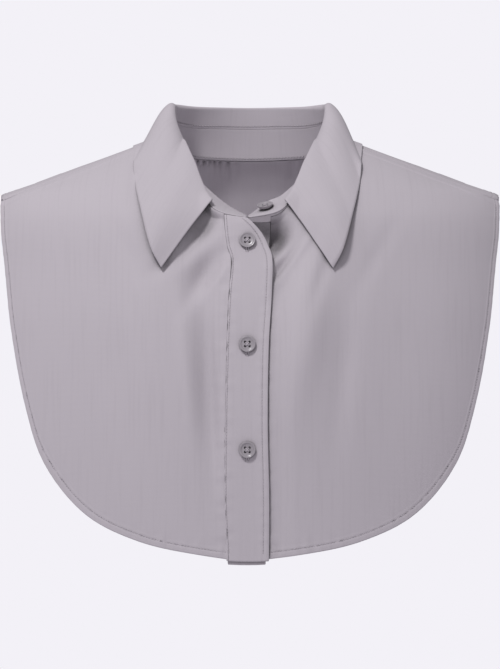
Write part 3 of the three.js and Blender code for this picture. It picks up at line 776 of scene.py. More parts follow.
@dataclass(frozen=True)
class CottonPoplin:
    """Fine plain-woven shirt cloth of cotton, piece-dyed pale grey and pressed.

    It is matt with a faint sheen at grazing light, with a fine even grain and a few thicker
    threads that run lengthwise.
    """

    name: str
    colour: str = "#BAB3BA"
    slub_colour: str = "#B5AEB5"
    roughness: float = 0.82
    # Real threads lie 0.25 mm apart; they are drawn 0.9 mm apart, the finest that shows.
    thread_mm: float = 0.9
    slub_mm: float = 2.4
    slub_length_mm: float = 60.0
    painted_shade_reach_mm: float = 30.0
    hollow_shade: float = 0.03

    def make(self) -> bpy.types.Material:
        """Makes the material on the piece's own cloth coordinates."""
        material, tree = new_material(self.name)
        uv = add_node(tree, "ShaderNodeUVMap", {"uv_map": "Cloth"}).outputs["UV"]
        metre = 1 / MM
        scale = (metre / self.slub_mm, metre / self.slub_length_mm, 1.0)
        long_map = add_node(tree, "ShaderNodeMapping", {"Scale": scale}, Vector=uv)
        slub = add_node(tree, "ShaderNodeTexNoise", {"Scale": 1.0, "Detail": 3.0}, Vector=long_map.outputs[0])
        slub_share = add_node(
            tree, "ShaderNodeMapRange",
            {"From Min": 0.5, "From Max": 0.85, "To Max": 1.0}, Value=slub.outputs[0])
        cloud = add_node(tree, "ShaderNodeTexNoise", {"Scale": 14.0, "Detail": 2.0}, Vector=uv)
        shade = add_node(tree, "ShaderNodeMapRange", {"To Min": 0.98, "To Max": 1.02}, Value=cloud.outputs[0])
        colour = mixed(tree, self.colour, self.slub_colour, slub_share.outputs[0])
        # The modelled hollows are shallower than the photo's, so painted shade darkens the colour itself
        # where cloth lies close over cloth. Real cloth isn't darker there: it is painted shade.
        near = add_node(tree, "ShaderNodeAmbientOcclusion", {"samples": 4, "Distance": self.painted_shade_reach_mm * MM})
        painted_hollow_shade = add_node(
            tree, "ShaderNodeMapRange",
            {"From Min": 0.28, "From Max": 0.78, "To Min": self.hollow_shade, "To Max": 1.0},
            Value=near.outputs["AO"])
        # The cloth's random tone, times the painted shade of its hollows.
        tone_and_painted_shade = add_node(
            tree, "ShaderNodeMath", {"operation": "MULTIPLY"}, _0=shade.outputs[0], _1=painted_hollow_shade.outputs[0])
        colour_with_painted_shade = add_node(tree, "ShaderNodeVectorMath", {"operation": "SCALE"})
        tree.links.new(colour, colour_with_painted_shade.inputs[0])
        tree.links.new(tone_and_painted_shade.outputs[0], colour_with_painted_shade.inputs["Scale"])
        weave = self._weave(tree, uv)
        bump = add_node(tree, "ShaderNodeBump", {"Strength": 0.22, "Distance": 0.00012}, Height=weave)
        surface(tree, {"Roughness": self.roughness, "Sheen Weight": 0.12, "Sheen Roughness": 0.5, "IOR": 1.45},
                Base_Color=colour_with_painted_shade.outputs[0], Normal=bump.outputs[0])
        return material

    def _weave(self, tree: bpy.types.NodeTree, uv: bpy.types.NodeSocket) -> bpy.types.NodeSocket:
        """Adds the plain weave: warp and weft threads that cross over and under."""
        heights = []
        for direction in ("X", "Y"):
            # A wave texture's band takes a twentieth of a turn in its scale.
            wave = add_node(
                tree, "ShaderNodeTexWave",
                {"wave_type": "BANDS", "bands_direction": direction, "Scale": 1 / MM / self.thread_mm / 3.1831,
                 "Distortion": 1.2, "Detail": 1.0, "Detail Scale": 0.6}, Vector=uv)
            heights.append(wave.outputs[1])
        both = add_node(tree, "ShaderNodeMath", {"operation": "ADD"}, _0=heights[0], _1=heights[1])
        grain = add_node(tree, "ShaderNodeTexNoise", {"Scale": 900.0, "Detail": 2.0}, Vector=uv)
        total = add_node(tree, "ShaderNodeMath", {"operation": "ADD"}, _0=both.outputs[0], _1=grain.outputs[0])
        return total.outputs[0]


@dataclass(frozen=True)
class SewingThread:
    """Spun polyester sewing thread in the cloth's colour, with painted shade where it dives into the cloth."""

    name: str
    colour: str = "#BDB6BD"
    needle_hole_shade: str = "#4E474E"

    def make(self) -> bpy.types.Material:
        """Makes the material, with its painted shade read from the stitches' dive attribute."""
        material, tree = new_material(self.name)
        dive = add_node(tree, "ShaderNodeAttribute", {"attribute_name": "dive"})
        # Painted shade: the thread turns dark where it dives into its hole, where shadow falls.
        colour = mixed(tree, self.colour, self.needle_hole_shade, dive.outputs["Fac"])
        surface(tree, {"Roughness": 0.6}, Base_Color=colour)
        return material


@dataclass(frozen=True)
class DyedResin:
    """Cast polyester button resin, dyed grey, turned and tumbled to a gloss, with a faint swirl."""

    name: str
    colour: str = "#8F898F"
    swirl_colour: str = "#A49EA4"
    roughness: float = 0.27

    def make(self) -> bpy.types.Material:
        """Makes the material on object coordinates."""
        material, tree = new_material(self.name)
        place = add_node(tree, "ShaderNodeTexCoord").outputs["Object"]
        # The swirl of the cast sheet is about 4 mm across.
        swirl = add_node(
            tree, "ShaderNodeTexNoise", {"Scale": 250.0, "Detail": 2.0, "Distortion": 1.5}, Vector=place)
        colour = mixed(tree, self.colour, self.swirl_colour, swirl.outputs[0])
        scratch = add_node(tree, "ShaderNodeTexNoise", {"Scale": 2600.0, "Detail": 3.0}, Vector=place)
        wear = add_node(
            tree, "ShaderNodeMapRange", {"To Min": self.roughness * 0.8, "To Max": self.roughness * 1.6},
            Value=scratch.outputs[0])
        surface(tree, {"IOR": 1.5, "Coat Weight": 0.15, "Coat Roughness": 0.12},
                Base_Color=colour, Roughness=wear.outputs[0])
        return material


@dataclass(frozen=True)
class Finishes:
    """The collar's materials."""

    cloth: bpy.types.Material
    thread: bpy.types.Material
    resin: bpy.types.Material


class Held(Enum):
    """How a sheet of cloth is held."""

    HUNG = "hung"
    FOLDED = "folded"
    GATHERED = "gathered"
    STRETCHED = "stretched"


def settle(piece: bpy.types.Object, node: str | None, material: bpy.types.Material) -> None:
    """Gives a finished piece its material and body, and hides the CAD node that it stands for.

    Args:
        piece: The piece.
        node: The CAD node that it stands for, if any.
        material: Its finish.
    """
    piece.data.materials.clear()
    piece.data.materials.append(material)
    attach(piece, "root")
    if node:
        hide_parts(node)
    log.info("%s: %d faces", piece.name, len(piece.data.polygons))


@dataclass
class FrontPanel:
    """One front panel, from its placket's seam to the armhole."""

    name: str
    side: int
    seam: PlacketColumn
    under: bool
    across: int = 150
    down: int = 210
    wall: float = 0.6
    hem_width: float = 6.2
    armhole_hem: float = 4.6
    row_in: float = 0.9
    hem_end: float = 15.5
    pucker_height: float = 0.5
    pucker_pitch: float = 9.0
    pucker_seed: float = 1.0

    def lines(self) -> tuple[Line, Line, Line, Line]:
        """The panel's top, bottom, placket and shoulder lines."""
        seam_x = COLLAR.closing_line + PLACKET_LINES[0][self.seam.value] * PLACKET_WIDTH
        seam_x = seam_x + self.side * LAYER_GAP
        start, end = COLLAR.place_at(seam_x, self.side), SEAM_PLACE[self.side]
        seam = placket_line(self.seam, start)
        x = np.array([row[0] for row in FRONT_OUTLINE]) * BODY.half_width * self.side
        z = np.array([-row[1] for row in FRONT_OUTLINE]) * BODY.front_length
        free = curve_through(BODY.point(x, z))
        foot = seam(np.array([1.0]))[0]
        away = SEAM_GAP + UNDER_DIP if self.under else SEAM_GAP

        def top(u: np.ndarray) -> Points:
            return COLLAR.neckline(start + (end - start) * u, away + (SEAM_GAP - away) * u)

        def bottom(u: np.ndarray) -> Points:
            p = free(1 - u)
            w = ((1 - u) ** 8)[:, None]
            return p * (1 - w) + np.stack([np.full(len(u), foot[0]), np.full(len(u), foot[1]), p[:, 2]], 1) * w

        def left(v: np.ndarray) -> Points:
            return seam(v) + np.array([self.side * LAYER_GAP, 0, 0])

        return top, bottom, left, shoulder_seam(self.side, LAYER_GAP)

    def _hem(self, z: np.ndarray) -> tuple[np.ndarray, np.ndarray]:
        """How far a height is from the armhole's part to the hem's, and the hem's width there."""
        lower = smooth_step((-z - 0.7 * BODY.front_length) / 40)
        return lower, self.armhole_hem + (self.hem_width - self.armhole_hem) * lower

    def relief(self, p: Points, edge: Points) -> np.ndarray:
        """How far the cloth stands out of the body form at points near it."""
        distance, along = nearest(p, edge)
        lower, hem = self._hem(p[..., 2])
        step = 0.35 * (1 - smooth_step((distance - hem) / 1.2))
        groove = -0.4 * bell(distance - hem + self.row_in, 1.0)
        pucker = ripple(along, self.pucker_pitch, self.pucker_seed) * bell(distance - hem + 1, 5.5)
        strength = 0.35 + lower * (0.5 + 0.5 * ripple(along, 90, 2 * self.pucker_seed))
        neck = COLLAR.neckline(np.linspace(0, 1, 200), 0.0)
        eased = smooth_step(nearest(p, neck)[0] / 4.5)
        relief = fold_relief(p) + eased * fold_relief(p, FINE_FOLDS) + step + groove
        relief = relief + self.pucker_height * strength * pucker
        if self.under:
            beyond = self.side * (p[..., 0] - COLLAR.closing_line) - 0.65 * PLACKET_WIDTH
            share = beyond / (0.5 * PLACKET_WIDTH)
            relief = relief - UNDER_DIP * (1 - smooth_step(share)) + eased * fold_relief(p, UNDER_FOLDS)
        return relief

    def build(self, finishes: Finishes) -> None:
        """Builds the panel with its hem's stitches."""
        top, bottom, left, right = self.lines()
        u, v = spaced(self.across), spaced(self.down)
        patch = body_patch(top, bottom, left, right, u, v)
        edge = BODY.onto(bottom(np.linspace(0, 1, 700)))
        normal = BODY.normal(patch)
        relief = self.relief(patch, edge)
        shoulder = BODY.onto(right(np.linspace(0, 1, 300)))
        relief = relief + self._seam_step(nearest(patch, shoulder)[0])
        seam = BODY.onto(left(np.linspace(0, 1, 500)))
        seam_distance, seam_along = nearest(patch, seam)
        relief = relief + 0.28 * ripple(seam_along, 14, 3.0 * self.pucker_seed) * bell(seam_distance, 7)
        grid = patch + normal * relief[..., None]
        piece = cloth_wall(self.name + "_cloth", grid, self.wall, FORWARDS, front_flat(patch))
        stitches = self._hem_stitches(bottom, edge, finishes)
        settle(piece, self.name, finishes.cloth)

    def _seam_step(self, distance: np.ndarray) -> np.ndarray:
        """The shoulder seam's groove and the folded allowance beside it."""
        return 0.5 * (1 - smooth_step((distance - 7) / 2)) - 1.8 * bell(distance, 0.9)

    def _hem_stitches(self, bottom: Line, edge: Points, finishes: Finishes) -> bpy.types.Object:
        """Sews the hem and armhole beside the fold, as far as the placket."""
        t = np.linspace(0.006, 0.994, 900)
        p = BODY.onto(bottom(t))
        normal = BODY.normal(p)
        way = unit(np.gradient(p, axis=0))
        inward = np.cross(normal, way) * self.side
        if (inward[450] @ (BODY.centre - p[450])) < 0:
            inward = -inward
        row = BODY.onto(p + inward * (self._hem(p[:, 2])[1] - self.row_in)[:, None])
        row = row[np.abs(row[:, 0]) > self.hem_end]
        normal = BODY.normal(row)
        row = row + normal * (self.relief(row, edge) + self.wall / 2)[:, None]
        stitches = stitch_rows(self.name + "_hem_stitches", [(row, normal)], HEM_STITCH)
        settle(stitches, None, finishes.thread)
        return stitches


@dataclass
class Placket:
    """One placket strip, from its stitched seam to its front edge."""

    name: str
    side: int
    seam: PlacketColumn
    edge: PlacketColumn
    offset: float
    top_gap: float
    extra: float
    wall: float
    stitched: bool
    across: int = 44
    down: int = 330
    edge_lift: float = 1.2
    seam_row_in: float = 1.5
    edge_row_in: float = 4.1

    def lines(self) -> tuple[Line, Line, Line, Line]:
        """The strip's top, bottom, seam and edge lines."""
        places = [COLLAR.place_at(COLLAR.closing_line + PLACKET_LINES[0][c.value] * PLACKET_WIDTH, self.side)
                  for c in (self.seam, self.edge)]
        sides = [placket_line(c, place) for c, place in zip((self.seam, self.edge), places)]

        def side_line(which: int) -> Line:
            def at(v: np.ndarray) -> Points:
                p = sides[which](v) - np.stack([0 * v, 0 * v, self.extra * v**8], axis=1)
                w = ((1 - v) ** 12)[:, None]
                return p * (1 - w) + COLLAR.neckline(np.full(len(v), places[which]), self.top_gap) * w
            return at

        left, right = side_line(0), side_line(1)

        def top(u: np.ndarray) -> Points:
            return COLLAR.neckline(places[0] + (places[1] - places[0]) * u, self.top_gap)

        def bottom(u: np.ndarray) -> Points:
            a, b = left(np.array([1.0]))[0], right(np.array([1.0]))[0]
            return a + (b - a) * u[:, None]

        return top, bottom, left, right

    def relief(self, p: Points, seam: Points, edge: Points) -> np.ndarray:
        """How far the strip stands out of the body form."""
        relief = fold_relief(p) + self.offset
        if not self.stitched:
            return relief + fold_relief(p, UNDER_FOLDS)
        seam_distance, along = nearest(p, seam)
        edge_distance, _ = nearest(p, edge)
        relief = relief - 0.5 * bell(seam_distance, 1.3)
        relief = relief + 0.25 * ripple(along, 13, 5.0) * bell(seam_distance, 6)
        relief = relief - 0.28 * bell(edge_distance - self.edge_row_in, 0.8) - 0.35 * bell(edge_distance, 1.2)
        relief = relief + self.edge_lift * bell(edge_distance, 7)
        return relief + 0.16 * ripple(along, 11, 2.0) * bell(edge_distance - self.edge_row_in, 4)

    def build(self, finishes: Finishes) -> None:
        """Builds the strip, with its rows of stitches."""
        top, bottom, left, right = self.lines()
        patch = body_patch(top, bottom, left, right, spaced(self.across, 0.3), spaced(self.down, 0.2))
        t = np.linspace(0, 1, 600)
        seam, edge = BODY.onto(left(t)), BODY.onto(right(t))
        grid = patch + BODY.normal(patch) * self.relief(patch, seam, edge)[..., None]
        piece = cloth_wall(self.name + "_cloth", grid, self.wall, FORWARDS, front_flat(patch))
        if self.stitched:
            rows = []
            for line, inset in ((seam, self.seam_row_in), (edge, -self.edge_row_in)):
                row = BODY.onto(line + np.array([inset, 0, 0]))[6:-9]
                normal = BODY.normal(row)
                lift = self.relief(row, seam, edge) + self.wall / 2
                rows.append((row + normal * lift[:, None], normal))
            stitches = stitch_rows(self.name + "_stitches", rows, HEM_STITCH)
            settle(stitches, None, finishes.thread)
        settle(piece, self.name, finishes.cloth)


@dataclass
class BackPanel:
    """The back, over both shoulders to the forward seams, gathered below the stand."""

    name: str = "back_panel"
    across: int = 300
    down: int = 120
    wall: float = 0.6
    gather_fade: float = 26.0
    # Each tuck of the gathers: its x at the neckline, its half width and depth in mm.
    tucks: tuple[tuple[float, float, float], ...] = (
        (-46.6, 1.3, 3.2), (-41.8, 1.1, 4.2), (-36.9, 1.2, 4.6), (-32.0, 1.1, 4.0), (-28.6, 1.0, 4.4),
        (-24.3, 1.2, 3.6), (-17.8, 1.4, 3.4), (-10.5, 1.8, 1.6), (34.0, 1.6, 1.6), (43.0, 1.6, 2.0),
    )

    def build(self, finishes: Finishes) -> None:
        """Builds the back panel."""
        right_seam, left_seam = shoulder_seam(1, 0), shoulder_seam(-1, 0)
        rows = FRONT_OUTLINE[1:]
        x = np.array([row[0] for row in rows]) * BODY.half_width
        z = np.array([-row[1] for row in rows]) * BODY.back_length
        tip = -FRONT_OUTLINE[0][1] * BODY.front_length * 0.945
        right, left = BODY.point(x, z, True), BODY.point(-x, z, True)[::-1]
        ridge = [BODY.point(side * BODY.half_width, tip, True) for side in (1, -1)]
        end = np.array([1.0])
        free = curve_through(np.vstack(
            [right_seam(end), ridge[0], right, left[1:], ridge[1], left_seam(end)]))

        def top(u: np.ndarray) -> Points:
            return COLLAR.neckline(SEAM_PLACE[1] + (SEAM_PLACE[-1] - SEAM_PLACE[1]) * u, SEAM_GAP)

        u, v = np.linspace(0, 1, self.across + 1), spaced(self.down)
        patch = body_patch(top, free, right_seam, left_seam, u, v)
        from_neck = np.linalg.norm(patch - patch[:1], axis=-1)
        behind = (patch[..., 1] > 0).astype(float)
        relief = np.zeros(patch.shape[:2])
        fade = (1 - np.exp(-from_neck / 1.2)) * np.exp(-from_neck / self.gather_fade)
        for tuck_x, half_width, depth in self.tucks:
            spread = half_width * (1 + from_neck / 14)
            drift = 0.04 * from_neck
            relief += depth * fade * behind * np.exp(-(((patch[..., 0] + drift - tuck_x) / spread) ** 2))
        share = u[None, :]
        hang = 2 * np.cos(share * math.pi * 6) * np.minimum(1, 2 * v[:, None]) ** 2
        relief += hang * behind
        edge = free(np.linspace(0, 1, 1200))
        distance, along = nearest(patch, BODY.onto(edge))
        relief += 0.35 * (1 - smooth_step((distance - 5.5) / 1.2)) - 0.4 * bell(distance - 4.6, 1.0)
        relief += 0.3 * ripple(along, 9.5, 4.0) * bell(distance - 4.5, 5.5)
        for seam in (right_seam, left_seam):
            line = BODY.onto(seam(np.linspace(0, 1, 300)))
            relief -= 1.2 * bell(nearest(patch, line)[0], 1.3)
        grid = patch + BODY.normal(patch) * relief[..., None]
        flat = np.stack([BODY.around(patch[..., 0], patch[..., 2]), patch[..., 2] - patch[..., 1]], axis=-1)
        piece = cloth_wall(self.name + "_cloth", grid, self.wall, np.array([0, 1.0, 0]), flat)
        settle(piece, self.name, finishes.cloth)


@dataclass
class Stand:
    """The stand, from the neckline up to the leaf's seam."""

    name: str = "collar_stand"
    along: int = 360
    up_steps: int = 28
    wall: float = 1.3
    bow: float = 0.4
    end: float = 0.002
    row_rise: float = 1.6

    @staticmethod
    def tilt(place: np.ndarray) -> np.ndarray:
        """How far the stand's top leans out beside the closing, on the underlapping side."""
        return TAB_TILT * np.sin(math.pi * np.clip(place / TAB_END, 0, 1)) ** 2

    def point(self, place: np.ndarray, t: np.ndarray) -> Points:
        """The stand's middle at a place and a share up."""
        base, roll, up, out = COLLAR.frames(place)
        height = np.linalg.norm(roll - base, axis=-1)
        top = height * COLLAR.station_value("stand", place) - SEAM_LINE
        rise = SEAM_GAP + (top - SEAM_GAP) * t
        bow = self.bow * np.sin(math.pi * t) + self.tilt(place) * t
        return base + up * rise[..., None] + out * bow[..., None]

    def build(self, finishes: Finishes) -> None:
        """Builds the stand, with a row of stitches above the neckline on its inner face."""
        place = self.end + (1 - 2 * self.end) * np.linspace(0, 1, self.along + 1)
        t = spaced(self.up_steps, 0.4)
        rows = [self.point(place, np.full(len(place), share)) for share in t]
        grid = np.array(rows).transpose(1, 0, 2)
        flat = strip_flat(grid[:, 0], np.linalg.norm(grid - grid[:, :1], axis=-1))
        out = COLLAR.frames(np.array([0.5]))[3][0]
        piece = cloth_wall(self.name + "_cloth", grid, self.wall, out, flat)
        base, _, up, out = COLLAR.frames(np.linspace(0.02, 0.98, 900))
        row = base + up * (SEAM_GAP + self.row_rise) - out * (self.wall / 2)
        stitches = stitch_rows(self.name + "_stitches", [(row, -out)], NECK_STITCH)
        settle(stitches, None, finishes.thread)
        settle(piece, self.name, finishes.cloth)


@dataclass
class Leaf:
    """The fall collar: up from the stand, over the roll and down to its two points."""

    name: str = "collar_leaf"
    along: int = 380
    roll_steps: int = 12
    fall_steps: int = 56
    wall: float = 1.2
    cad_band: float = 1.6
    roll_radius: float = 1.3
    # The fall leaves the roll this far out for each step down, and keeps on for this share.
    flare: float = 0.7
    fullness: float = 0.45
    # The leaf's middle rests this far above the body form, over one layer of cloth.
    rest: float = 0.98
    stand_clearance: float = 2.0
    back_gathers: float = 1.7
    # The columns of the grid that lie on the roll, and below the row of stitches.
    roll_column: int = 20
    row_column: int = 2

    @staticmethod
    def _soft_max(a: np.ndarray, b: np.ndarray, rounding: float) -> np.ndarray:
        """The larger of two lengths, with the change from one to the other rounded."""
        return (a + b + np.hypot(a - b, rounding)) / 2

    def _clear_of_stand(self, p: Points, place: np.ndarray) -> Points:
        """Keeps points of the leaf outside the stand at their own places."""
        base, roll, up, out = COLLAR.frames(place)
        offset = p - base
        height = np.linalg.norm(roll - base, axis=-1)
        rise = (offset * up).sum(axis=-1)
        beside = smooth_step((rise + 4) / 4) * (1 - smooth_step((rise - height) / 2))
        reach = (offset * out).sum(axis=-1)
        return p + out * (beside * (self._soft_max(reach, self.stand_clearance, 0.5) - reach))[..., None]

    def _clear_of_body(self, p: Points, lift: np.ndarray) -> Points:
        """Keeps points of the leaf above the cloth that lies on the body."""
        foot = BODY.onto(p)
        normal = BODY.normal(foot)
        rise = ((p - foot) * normal).sum(axis=-1)
        behind = smooth_step(2 * (1 - np.abs(foot[..., 0]) / COLLAR.neck_half_width))
        below = smooth_step((-foot[..., 2] - 30) / 20)
        relief = np.where(p[..., 1] < 0, below * np.maximum(fold_relief(foot), 0), self.back_gathers * behind)
        least = self.rest + relief + lift
        return p + normal * (self._soft_max(rise, least, 0.3) - rise)[..., None]

    def grid(self) -> Points:
        """The leaf's middle, one row for each place along it."""
        place = LEAF_START + (1 - 2 * LEAF_START) * np.linspace(0, 1, self.along + 1)
        base, roll, up, out = COLLAR.frames(place)
        height = np.linalg.norm(roll - base, axis=-1, keepdims=True)
        aside = COLLAR.station_value("beside", place)[:, None] * (self.cad_band + SEAM_GAP)
        seam = height * COLLAR.station_value("seam", place)[:, None] + SEAM_LINE
        edge = EDGE_CURVE((place - LEAF_START) / (1 - 2 * LEAF_START))
        radius = self.roll_radius * COLLAR.station_value("turn", place)[:, None]
        fold = height * COLLAR.station_value("fold", place)[:, None] - radius
        turn_end = base + up * fold + out * aside
        centre = turn_end + out * radius
        start = base + up * seam + out * aside
        rows = [start + (turn_end - start) * t for t in np.linspace(0, 1, 14)[:-1]]
        over = unit(out + BODY.normal(base))
        control = base + over * COLLAR.station_value("cover", place)[:, None] * COLLAR.leaf_lift
        # The roll turns until it points along the fall, so no crease is left between them.
        lean = math.atan(self.flare) * smooth_step(COLLAR.station_value("turn", place) - 0.6)[:, None]
        for share in np.linspace(0, 1, self.roll_steps + 1):
            angle = share * (math.pi - lean)
            rows.append(centre - out * radius * np.cos(angle) + up * radius * np.sin(angle))
        fall_start = rows[-1]
        lift = COLLAR.station_value("lift", place) * COLLAR.leaf_lift
        shares = np.linspace(0, 1, self.fall_steps + 1)[1:]
        reach = np.linalg.norm(control - fall_start, axis=-1, keepdims=True) * self.fullness
        first = fall_start + (out * np.sin(lean) - up * np.cos(lean)) * reach
        fall = np.array([
            (1 - t) ** 3 * fall_start + 3 * t * (1 - t) ** 2 * first
            + 3 * t * t * (1 - t) * control + t**3 * edge for t in shares])
        fall = self._clear_of_stand(fall, place)
        fall = self._clear_of_body(fall, shares[:, None] * lift[None])
        return np.concatenate([np.array(rows), fall]).transpose(1, 0, 2)

    def build(self, finishes: Finishes) -> None:
        """Builds the leaf, with its seam's stitches."""
        grid = self.grid()
        steps = np.linalg.norm(np.diff(grid, axis=1), axis=-1)
        height = np.concatenate([np.zeros((len(grid), 1)), np.cumsum(steps, axis=1)], axis=1)
        flat = strip_flat(grid[:, self.roll_column], height)
        outward = COLLAR.frames(np.array([0.5]))[3][0]
        piece = cloth_wall(self.name + "_cloth", grid, self.wall, -outward, flat)
        stitches = self._stitches(grid)
        settle(stitches, None, finishes.thread)
        settle(piece, self.name, finishes.cloth)

    def _stitches(self, grid: Points) -> bpy.types.Object:
        """Sews the leaf's seam inside the neck."""
        inside = grid[:, self.row_column]
        facing = unit(inside - neck_axis(inside))
        rows = [(inside - facing * self.wall / 2, -facing)]
        return stitch_rows(self.name + "_stitches", rows, NECK_STITCH)


@dataclass
class Button:
    """A four-hole shirt button with a raised rim, sewn on with crossing threads."""

    name: str
    seat: Points
    facing: Points
    diameter: float = 12.7
    thickness: float = 2.5
    rim: float = 1.7
    dish: float = 0.9
    hole: float = 1.9
    spacing: float = 3.2
    thread_radius: float = 0.13

    def _body(self) -> bpy.types.Object:
        """Turns the button on its own axis, with its rim, dish and holes."""
        bpy.ops.object.select_all(action="DESELECT")
        bpy.ops.mesh.primitive_cylinder_add(
            vertices=64, radius=self.diameter / 2 * MM, depth=self.thickness * MM,
            location=(0, 0, self.thickness / 2 * MM))
        body = bpy.context.object
        bpy.ops.object.transform_apply(location=True, rotation=True, scale=True)
        self._select(body, top=True)
        bpy.ops.object.mode_set(mode="EDIT")
        bpy.ops.mesh.inset(thickness=self.rim * 0.75 * MM)
        bpy.ops.mesh.inset(thickness=self.rim * 0.35 * MM)
        bpy.ops.transform.translate(value=(0, 0, -0.7 * self.dish * MM))
        bpy.ops.mesh.inset(thickness=1.6 * MM)
        bpy.ops.transform.translate(value=(0, 0, -0.3 * self.dish * MM))
        bpy.ops.object.mode_set(mode="OBJECT")
        self._select(body, top=False)
        bpy.ops.object.mode_set(mode="EDIT")
        bpy.ops.transform.resize(value=(0.8, 0.8, 1), center_override=(0, 0, 0))
        bpy.ops.object.mode_set(mode="OBJECT")
        bevel = body.modifiers.new("rounded", "BEVEL")
        bevel.width = 0.5 * MM
        bevel.segments = 4
        bevel.limit_method = "ANGLE"
        bevel.angle_limit = math.radians(28)
        bpy.ops.object.modifier_apply(modifier=bevel.name)
        self._drill(body)
        bpy.ops.object.shade_smooth_by_angle(angle=math.radians(35))
        return body

    def _select(self, body: bpy.types.Object, top: bool) -> None:
        """Selects the button's top or bottom corners."""
        limit = self.thickness / 2 * MM
        mesh = body.data
        for group in (mesh.polygons, mesh.edges):
            group.foreach_set("select", np.zeros(len(group), dtype=bool))
        chosen = np.array([(corner.co.z > limit) == top for corner in mesh.vertices])
        mesh.vertices.foreach_set("select", chosen)
        for edge in mesh.edges:
            edge.select = all(chosen[list(edge.vertices)])
        for face in mesh.polygons:
            face.select = all(chosen[list(face.vertices)])

    def _drill(self, body: bpy.types.Object) -> None:
        """Drills the four holes."""
        for side in (-1, 1):
            for rise in (-1, 1):
                bpy.ops.object.select_all(action="DESELECT")
                place = (side * self.spacing / 2 * MM, rise * self.spacing / 2 * MM, 0)
                bpy.ops.mesh.primitive_cylinder_add(
                    vertices=28, radius=self.hole / 2 * MM, depth=4 * self.thickness * MM, location=place)
                drill = bpy.context.object
                cut = body.modifiers.new("hole", "BOOLEAN")
                cut.operation = "DIFFERENCE"
                cut.solver = "EXACT"
                cut.object = drill
                bpy.context.view_layer.objects.active = body
                bpy.ops.object.modifier_apply(modifier=cut.name)
                bpy.data.objects.remove(drill)
        body.select_set(True)

    def _threads(self) -> list[Points]:
        """Paths of the threads that cross over the dish between the holes."""
        reach = self.spacing / 2
        floor = self.thickness - self.dish
        paths = []
        t = np.linspace(0, 1, 13)
        for way in (-1, 1):
            for strand in (-1.0, 0.0, 1.0):
                beside = np.array([way, -1, 0]) / math.sqrt(2) * strand * 0.22
                x = reach * (2 * t - 1)
                z = floor + (0.5 + 0.25 * (way > 0)) * np.sin(math.pi * t) ** 0.5 - 1.6 * (2 * t - 1) ** 8
                paths.append(np.stack([x, way * x, z], axis=1) + beside)
        return paths

    def build(self, finishes: Finishes) -> None:
        """Builds the button at its seat, with its threads."""
        turn = Vector((0, 0, 1)).rotation_difference(Vector(self.facing)).to_matrix()
        body = self._body()
        body.name = self.name + "_fine"
        body.data.transform(Matrix.Translation(Vector(self.seat) * MM) @ turn.to_4x4())
        settle(body, self.name, finishes.resin)
        matrix = np.array(turn)
        threads = tubes(self.name + "_thread", [path @ matrix.T + self.seat for path in self._threads()],
                        self.thread_radius)
        settle(threads, None, finishes.thread)


@dataclass
class Buttonhole:
    """A vertical buttonhole: a slit between two close rows of stitches, barred at both ends."""

    name: str
    drop: float
    above: float = 6.0
    below: float = 8.6
    half_width: float = 1.3
    step: float = 0.36

    def build(self, finishes: Finishes) -> None:
        """Sews the buttonhole on the overlapping placket."""
        paths = []
        for z in np.arange(-self.drop - self.below, -self.drop + self.above, self.step):
            end = min(z + self.drop + self.below, self.drop * -1 + self.above - z) < 0.9
            spans = [(-self.half_width, self.half_width)] if end else [
                (-self.half_width, -0.16), (0.16, self.half_width)]
            for low, high in spans:
                x = COLLAR.closing_line + np.linspace(low, high, 5)
                p = BODY.point(x, np.full(5, z))
                rise = fold_relief(p) + 0.45 + 0.18 * np.array([-1.0, 0.7, 1.0, 0.7, -1.0])
                paths.append(p + BODY.normal(p) * rise[:, None])
        stitches = tubes(self.name, paths, 0.2)
        settle(stitches, None, finishes.thread)


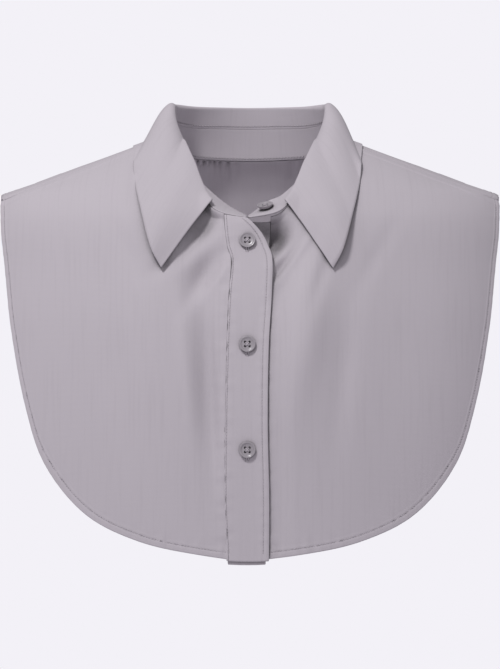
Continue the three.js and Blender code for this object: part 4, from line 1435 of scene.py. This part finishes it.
@dataclass
class Studio:
    """A plain pale floor and backdrop light, soft studio lights and the camera."""

    background: str = "#F3F1F7"
    floor_height: float = -0.9
    camera_distance: float = 2.2
    camera_height: float = -0.1555
    focal: float = 149.6
    surround_strength: float = 0.36
    # Each softbox: its name, place and size in metres, and power in watts.
    lights: tuple[tuple[str, tuple[float, float, float], float, float], ...] = (
        ("key", (-0.75, -1.35, 1.75), 0.4, 38.0),
        ("front", (0.5, -2.3, 0.1), 1.2, 3.5),
    )

    def build(self) -> None:
        """Builds the stage, the lights and the camera."""
        scene = bpy.context.scene
        scene.view_settings.view_transform = "Standard"
        self._world(scene)
        self._floor()
        for name, place, size, power in self.lights:
            self._light(name, place, size, power)
        camera = bpy.data.objects.new("camera", bpy.data.cameras.new("camera"))
        bpy.context.collection.objects.link(camera)
        camera.location = (0, -self.camera_distance, self.camera_height)
        camera.rotation_euler = (math.pi / 2, 0, 0)
        camera.data.lens = self.focal
        camera.data.sensor_width = 36.0
        scene.camera = camera

    def _world(self, scene: bpy.types.Scene) -> None:
        """Sets an even pale surround, weaker as a light than as a backdrop."""
        world = bpy.data.worlds.new("surround")
        scene.world = world
        world.use_nodes = True
        tree = world.node_tree
        tree.nodes.clear()
        colour = srgb(self.background)
        seen = add_node(tree, "ShaderNodeBackground", {"Color": colour, "Strength": 1.0})
        light = add_node(tree, "ShaderNodeBackground", {"Color": colour, "Strength": self.surround_strength})
        path = add_node(tree, "ShaderNodeLightPath")
        mix = add_node(tree, "ShaderNodeMixShader", None,
                       Fac=path.outputs["Is Camera Ray"], _1=light.outputs[0], _2=seen.outputs[0])
        add_node(tree, "ShaderNodeOutputWorld", None, Surface=mix.outputs[0])

    def _floor(self) -> None:
        """Lays a plain pale floor below the collar."""
        bpy.ops.object.select_all(action="DESELECT")
        bpy.ops.mesh.primitive_plane_add(size=5.0, location=(0, 0, self.floor_height))
        floor = bpy.context.object
        floor.name = "floor"
        material = bpy.data.materials.new("matt_paper_floor")
        material.use_nodes = True
        shader = material.node_tree.nodes["Principled BSDF"]
        shader.inputs["Base Color"].default_value = srgb(self.background)
        shader.inputs["Roughness"].default_value = 0.9
        floor.data.materials.append(material)

    def _light(self, name: str, place: tuple[float, float, float], size: float, power: float) -> None:
        """Adds a square softbox that faces the collar."""
        data = bpy.data.lights.new(name, "AREA")
        data.size = size
        data.energy = power
        light = bpy.data.objects.new(name, data)
        bpy.context.collection.objects.link(light)
        light.location = place
        target = np.array([0, 0, -0.13]) - np.array(place)
        light.rotation_euler = Vector(target).to_track_quat("-Z", "Y").to_euler()


def main() -> None:
    """Builds the studio and the collar's pieces in order."""
    logging.basicConfig(level=logging.INFO, format="%(message)s")
    Studio().build()
    finishes = Finishes(
        cloth=CottonPoplin("cotton_poplin_pale_grey").make(),
        thread=SewingThread("sewing_thread_grey").make(),
        resin=DyedResin("dyed_resin_grey").make(),
    )
    Stand().build(finishes)
    Leaf().build(finishes)
    FrontPanel("front_overlap_panel", -1, PlacketColumn.SEAM, False, pucker_seed=1.3).build(finishes)
    FrontPanel("front_underlap_panel", 1, PlacketColumn.UNDER_SEAM, True, pucker_seed=2.9).build(finishes)
    Placket("overlap_placket", -1, PlacketColumn.SEAM, PlacketColumn.EDGE, 0.0,
            SEAM_GAP, 0.0, 0.9, True).build(finishes)
    Placket("underlap_placket", 1, PlacketColumn.UNDER_SEAM, PlacketColumn.UNDER_EDGE, -UNDER_DIP,
            SEAM_GAP + UNDER_DIP, 2.4, 0.9, False).build(finishes)
    BackPanel().build(finishes)
    for name, drop in FRONT_BUTTONS:
        p = BODY.point(COLLAR.closing_line, -drop)
        facing = BODY.normal(p)
        Button("button_" + name, p + facing * (fold_relief(p) + 0.6), facing).build(finishes)
        Buttonhole("buttonhole_" + name, drop).build(finishes)
    place = np.array([COLLAR.place_at(NECK_BUTTON_X, 1)])
    base, roll, up, out = (part[0] for part in COLLAR.frames(place))
    lean = float(Stand.tilt(place)[0])
    facing = unit(out - up * lean / np.linalg.norm(roll - base))
    Button("button_neck", (base + roll) / 2 + out * (NECK_BUTTON_OUT + lean / 2), facing).build(finishes)


if __name__ == "__main__":
    main()
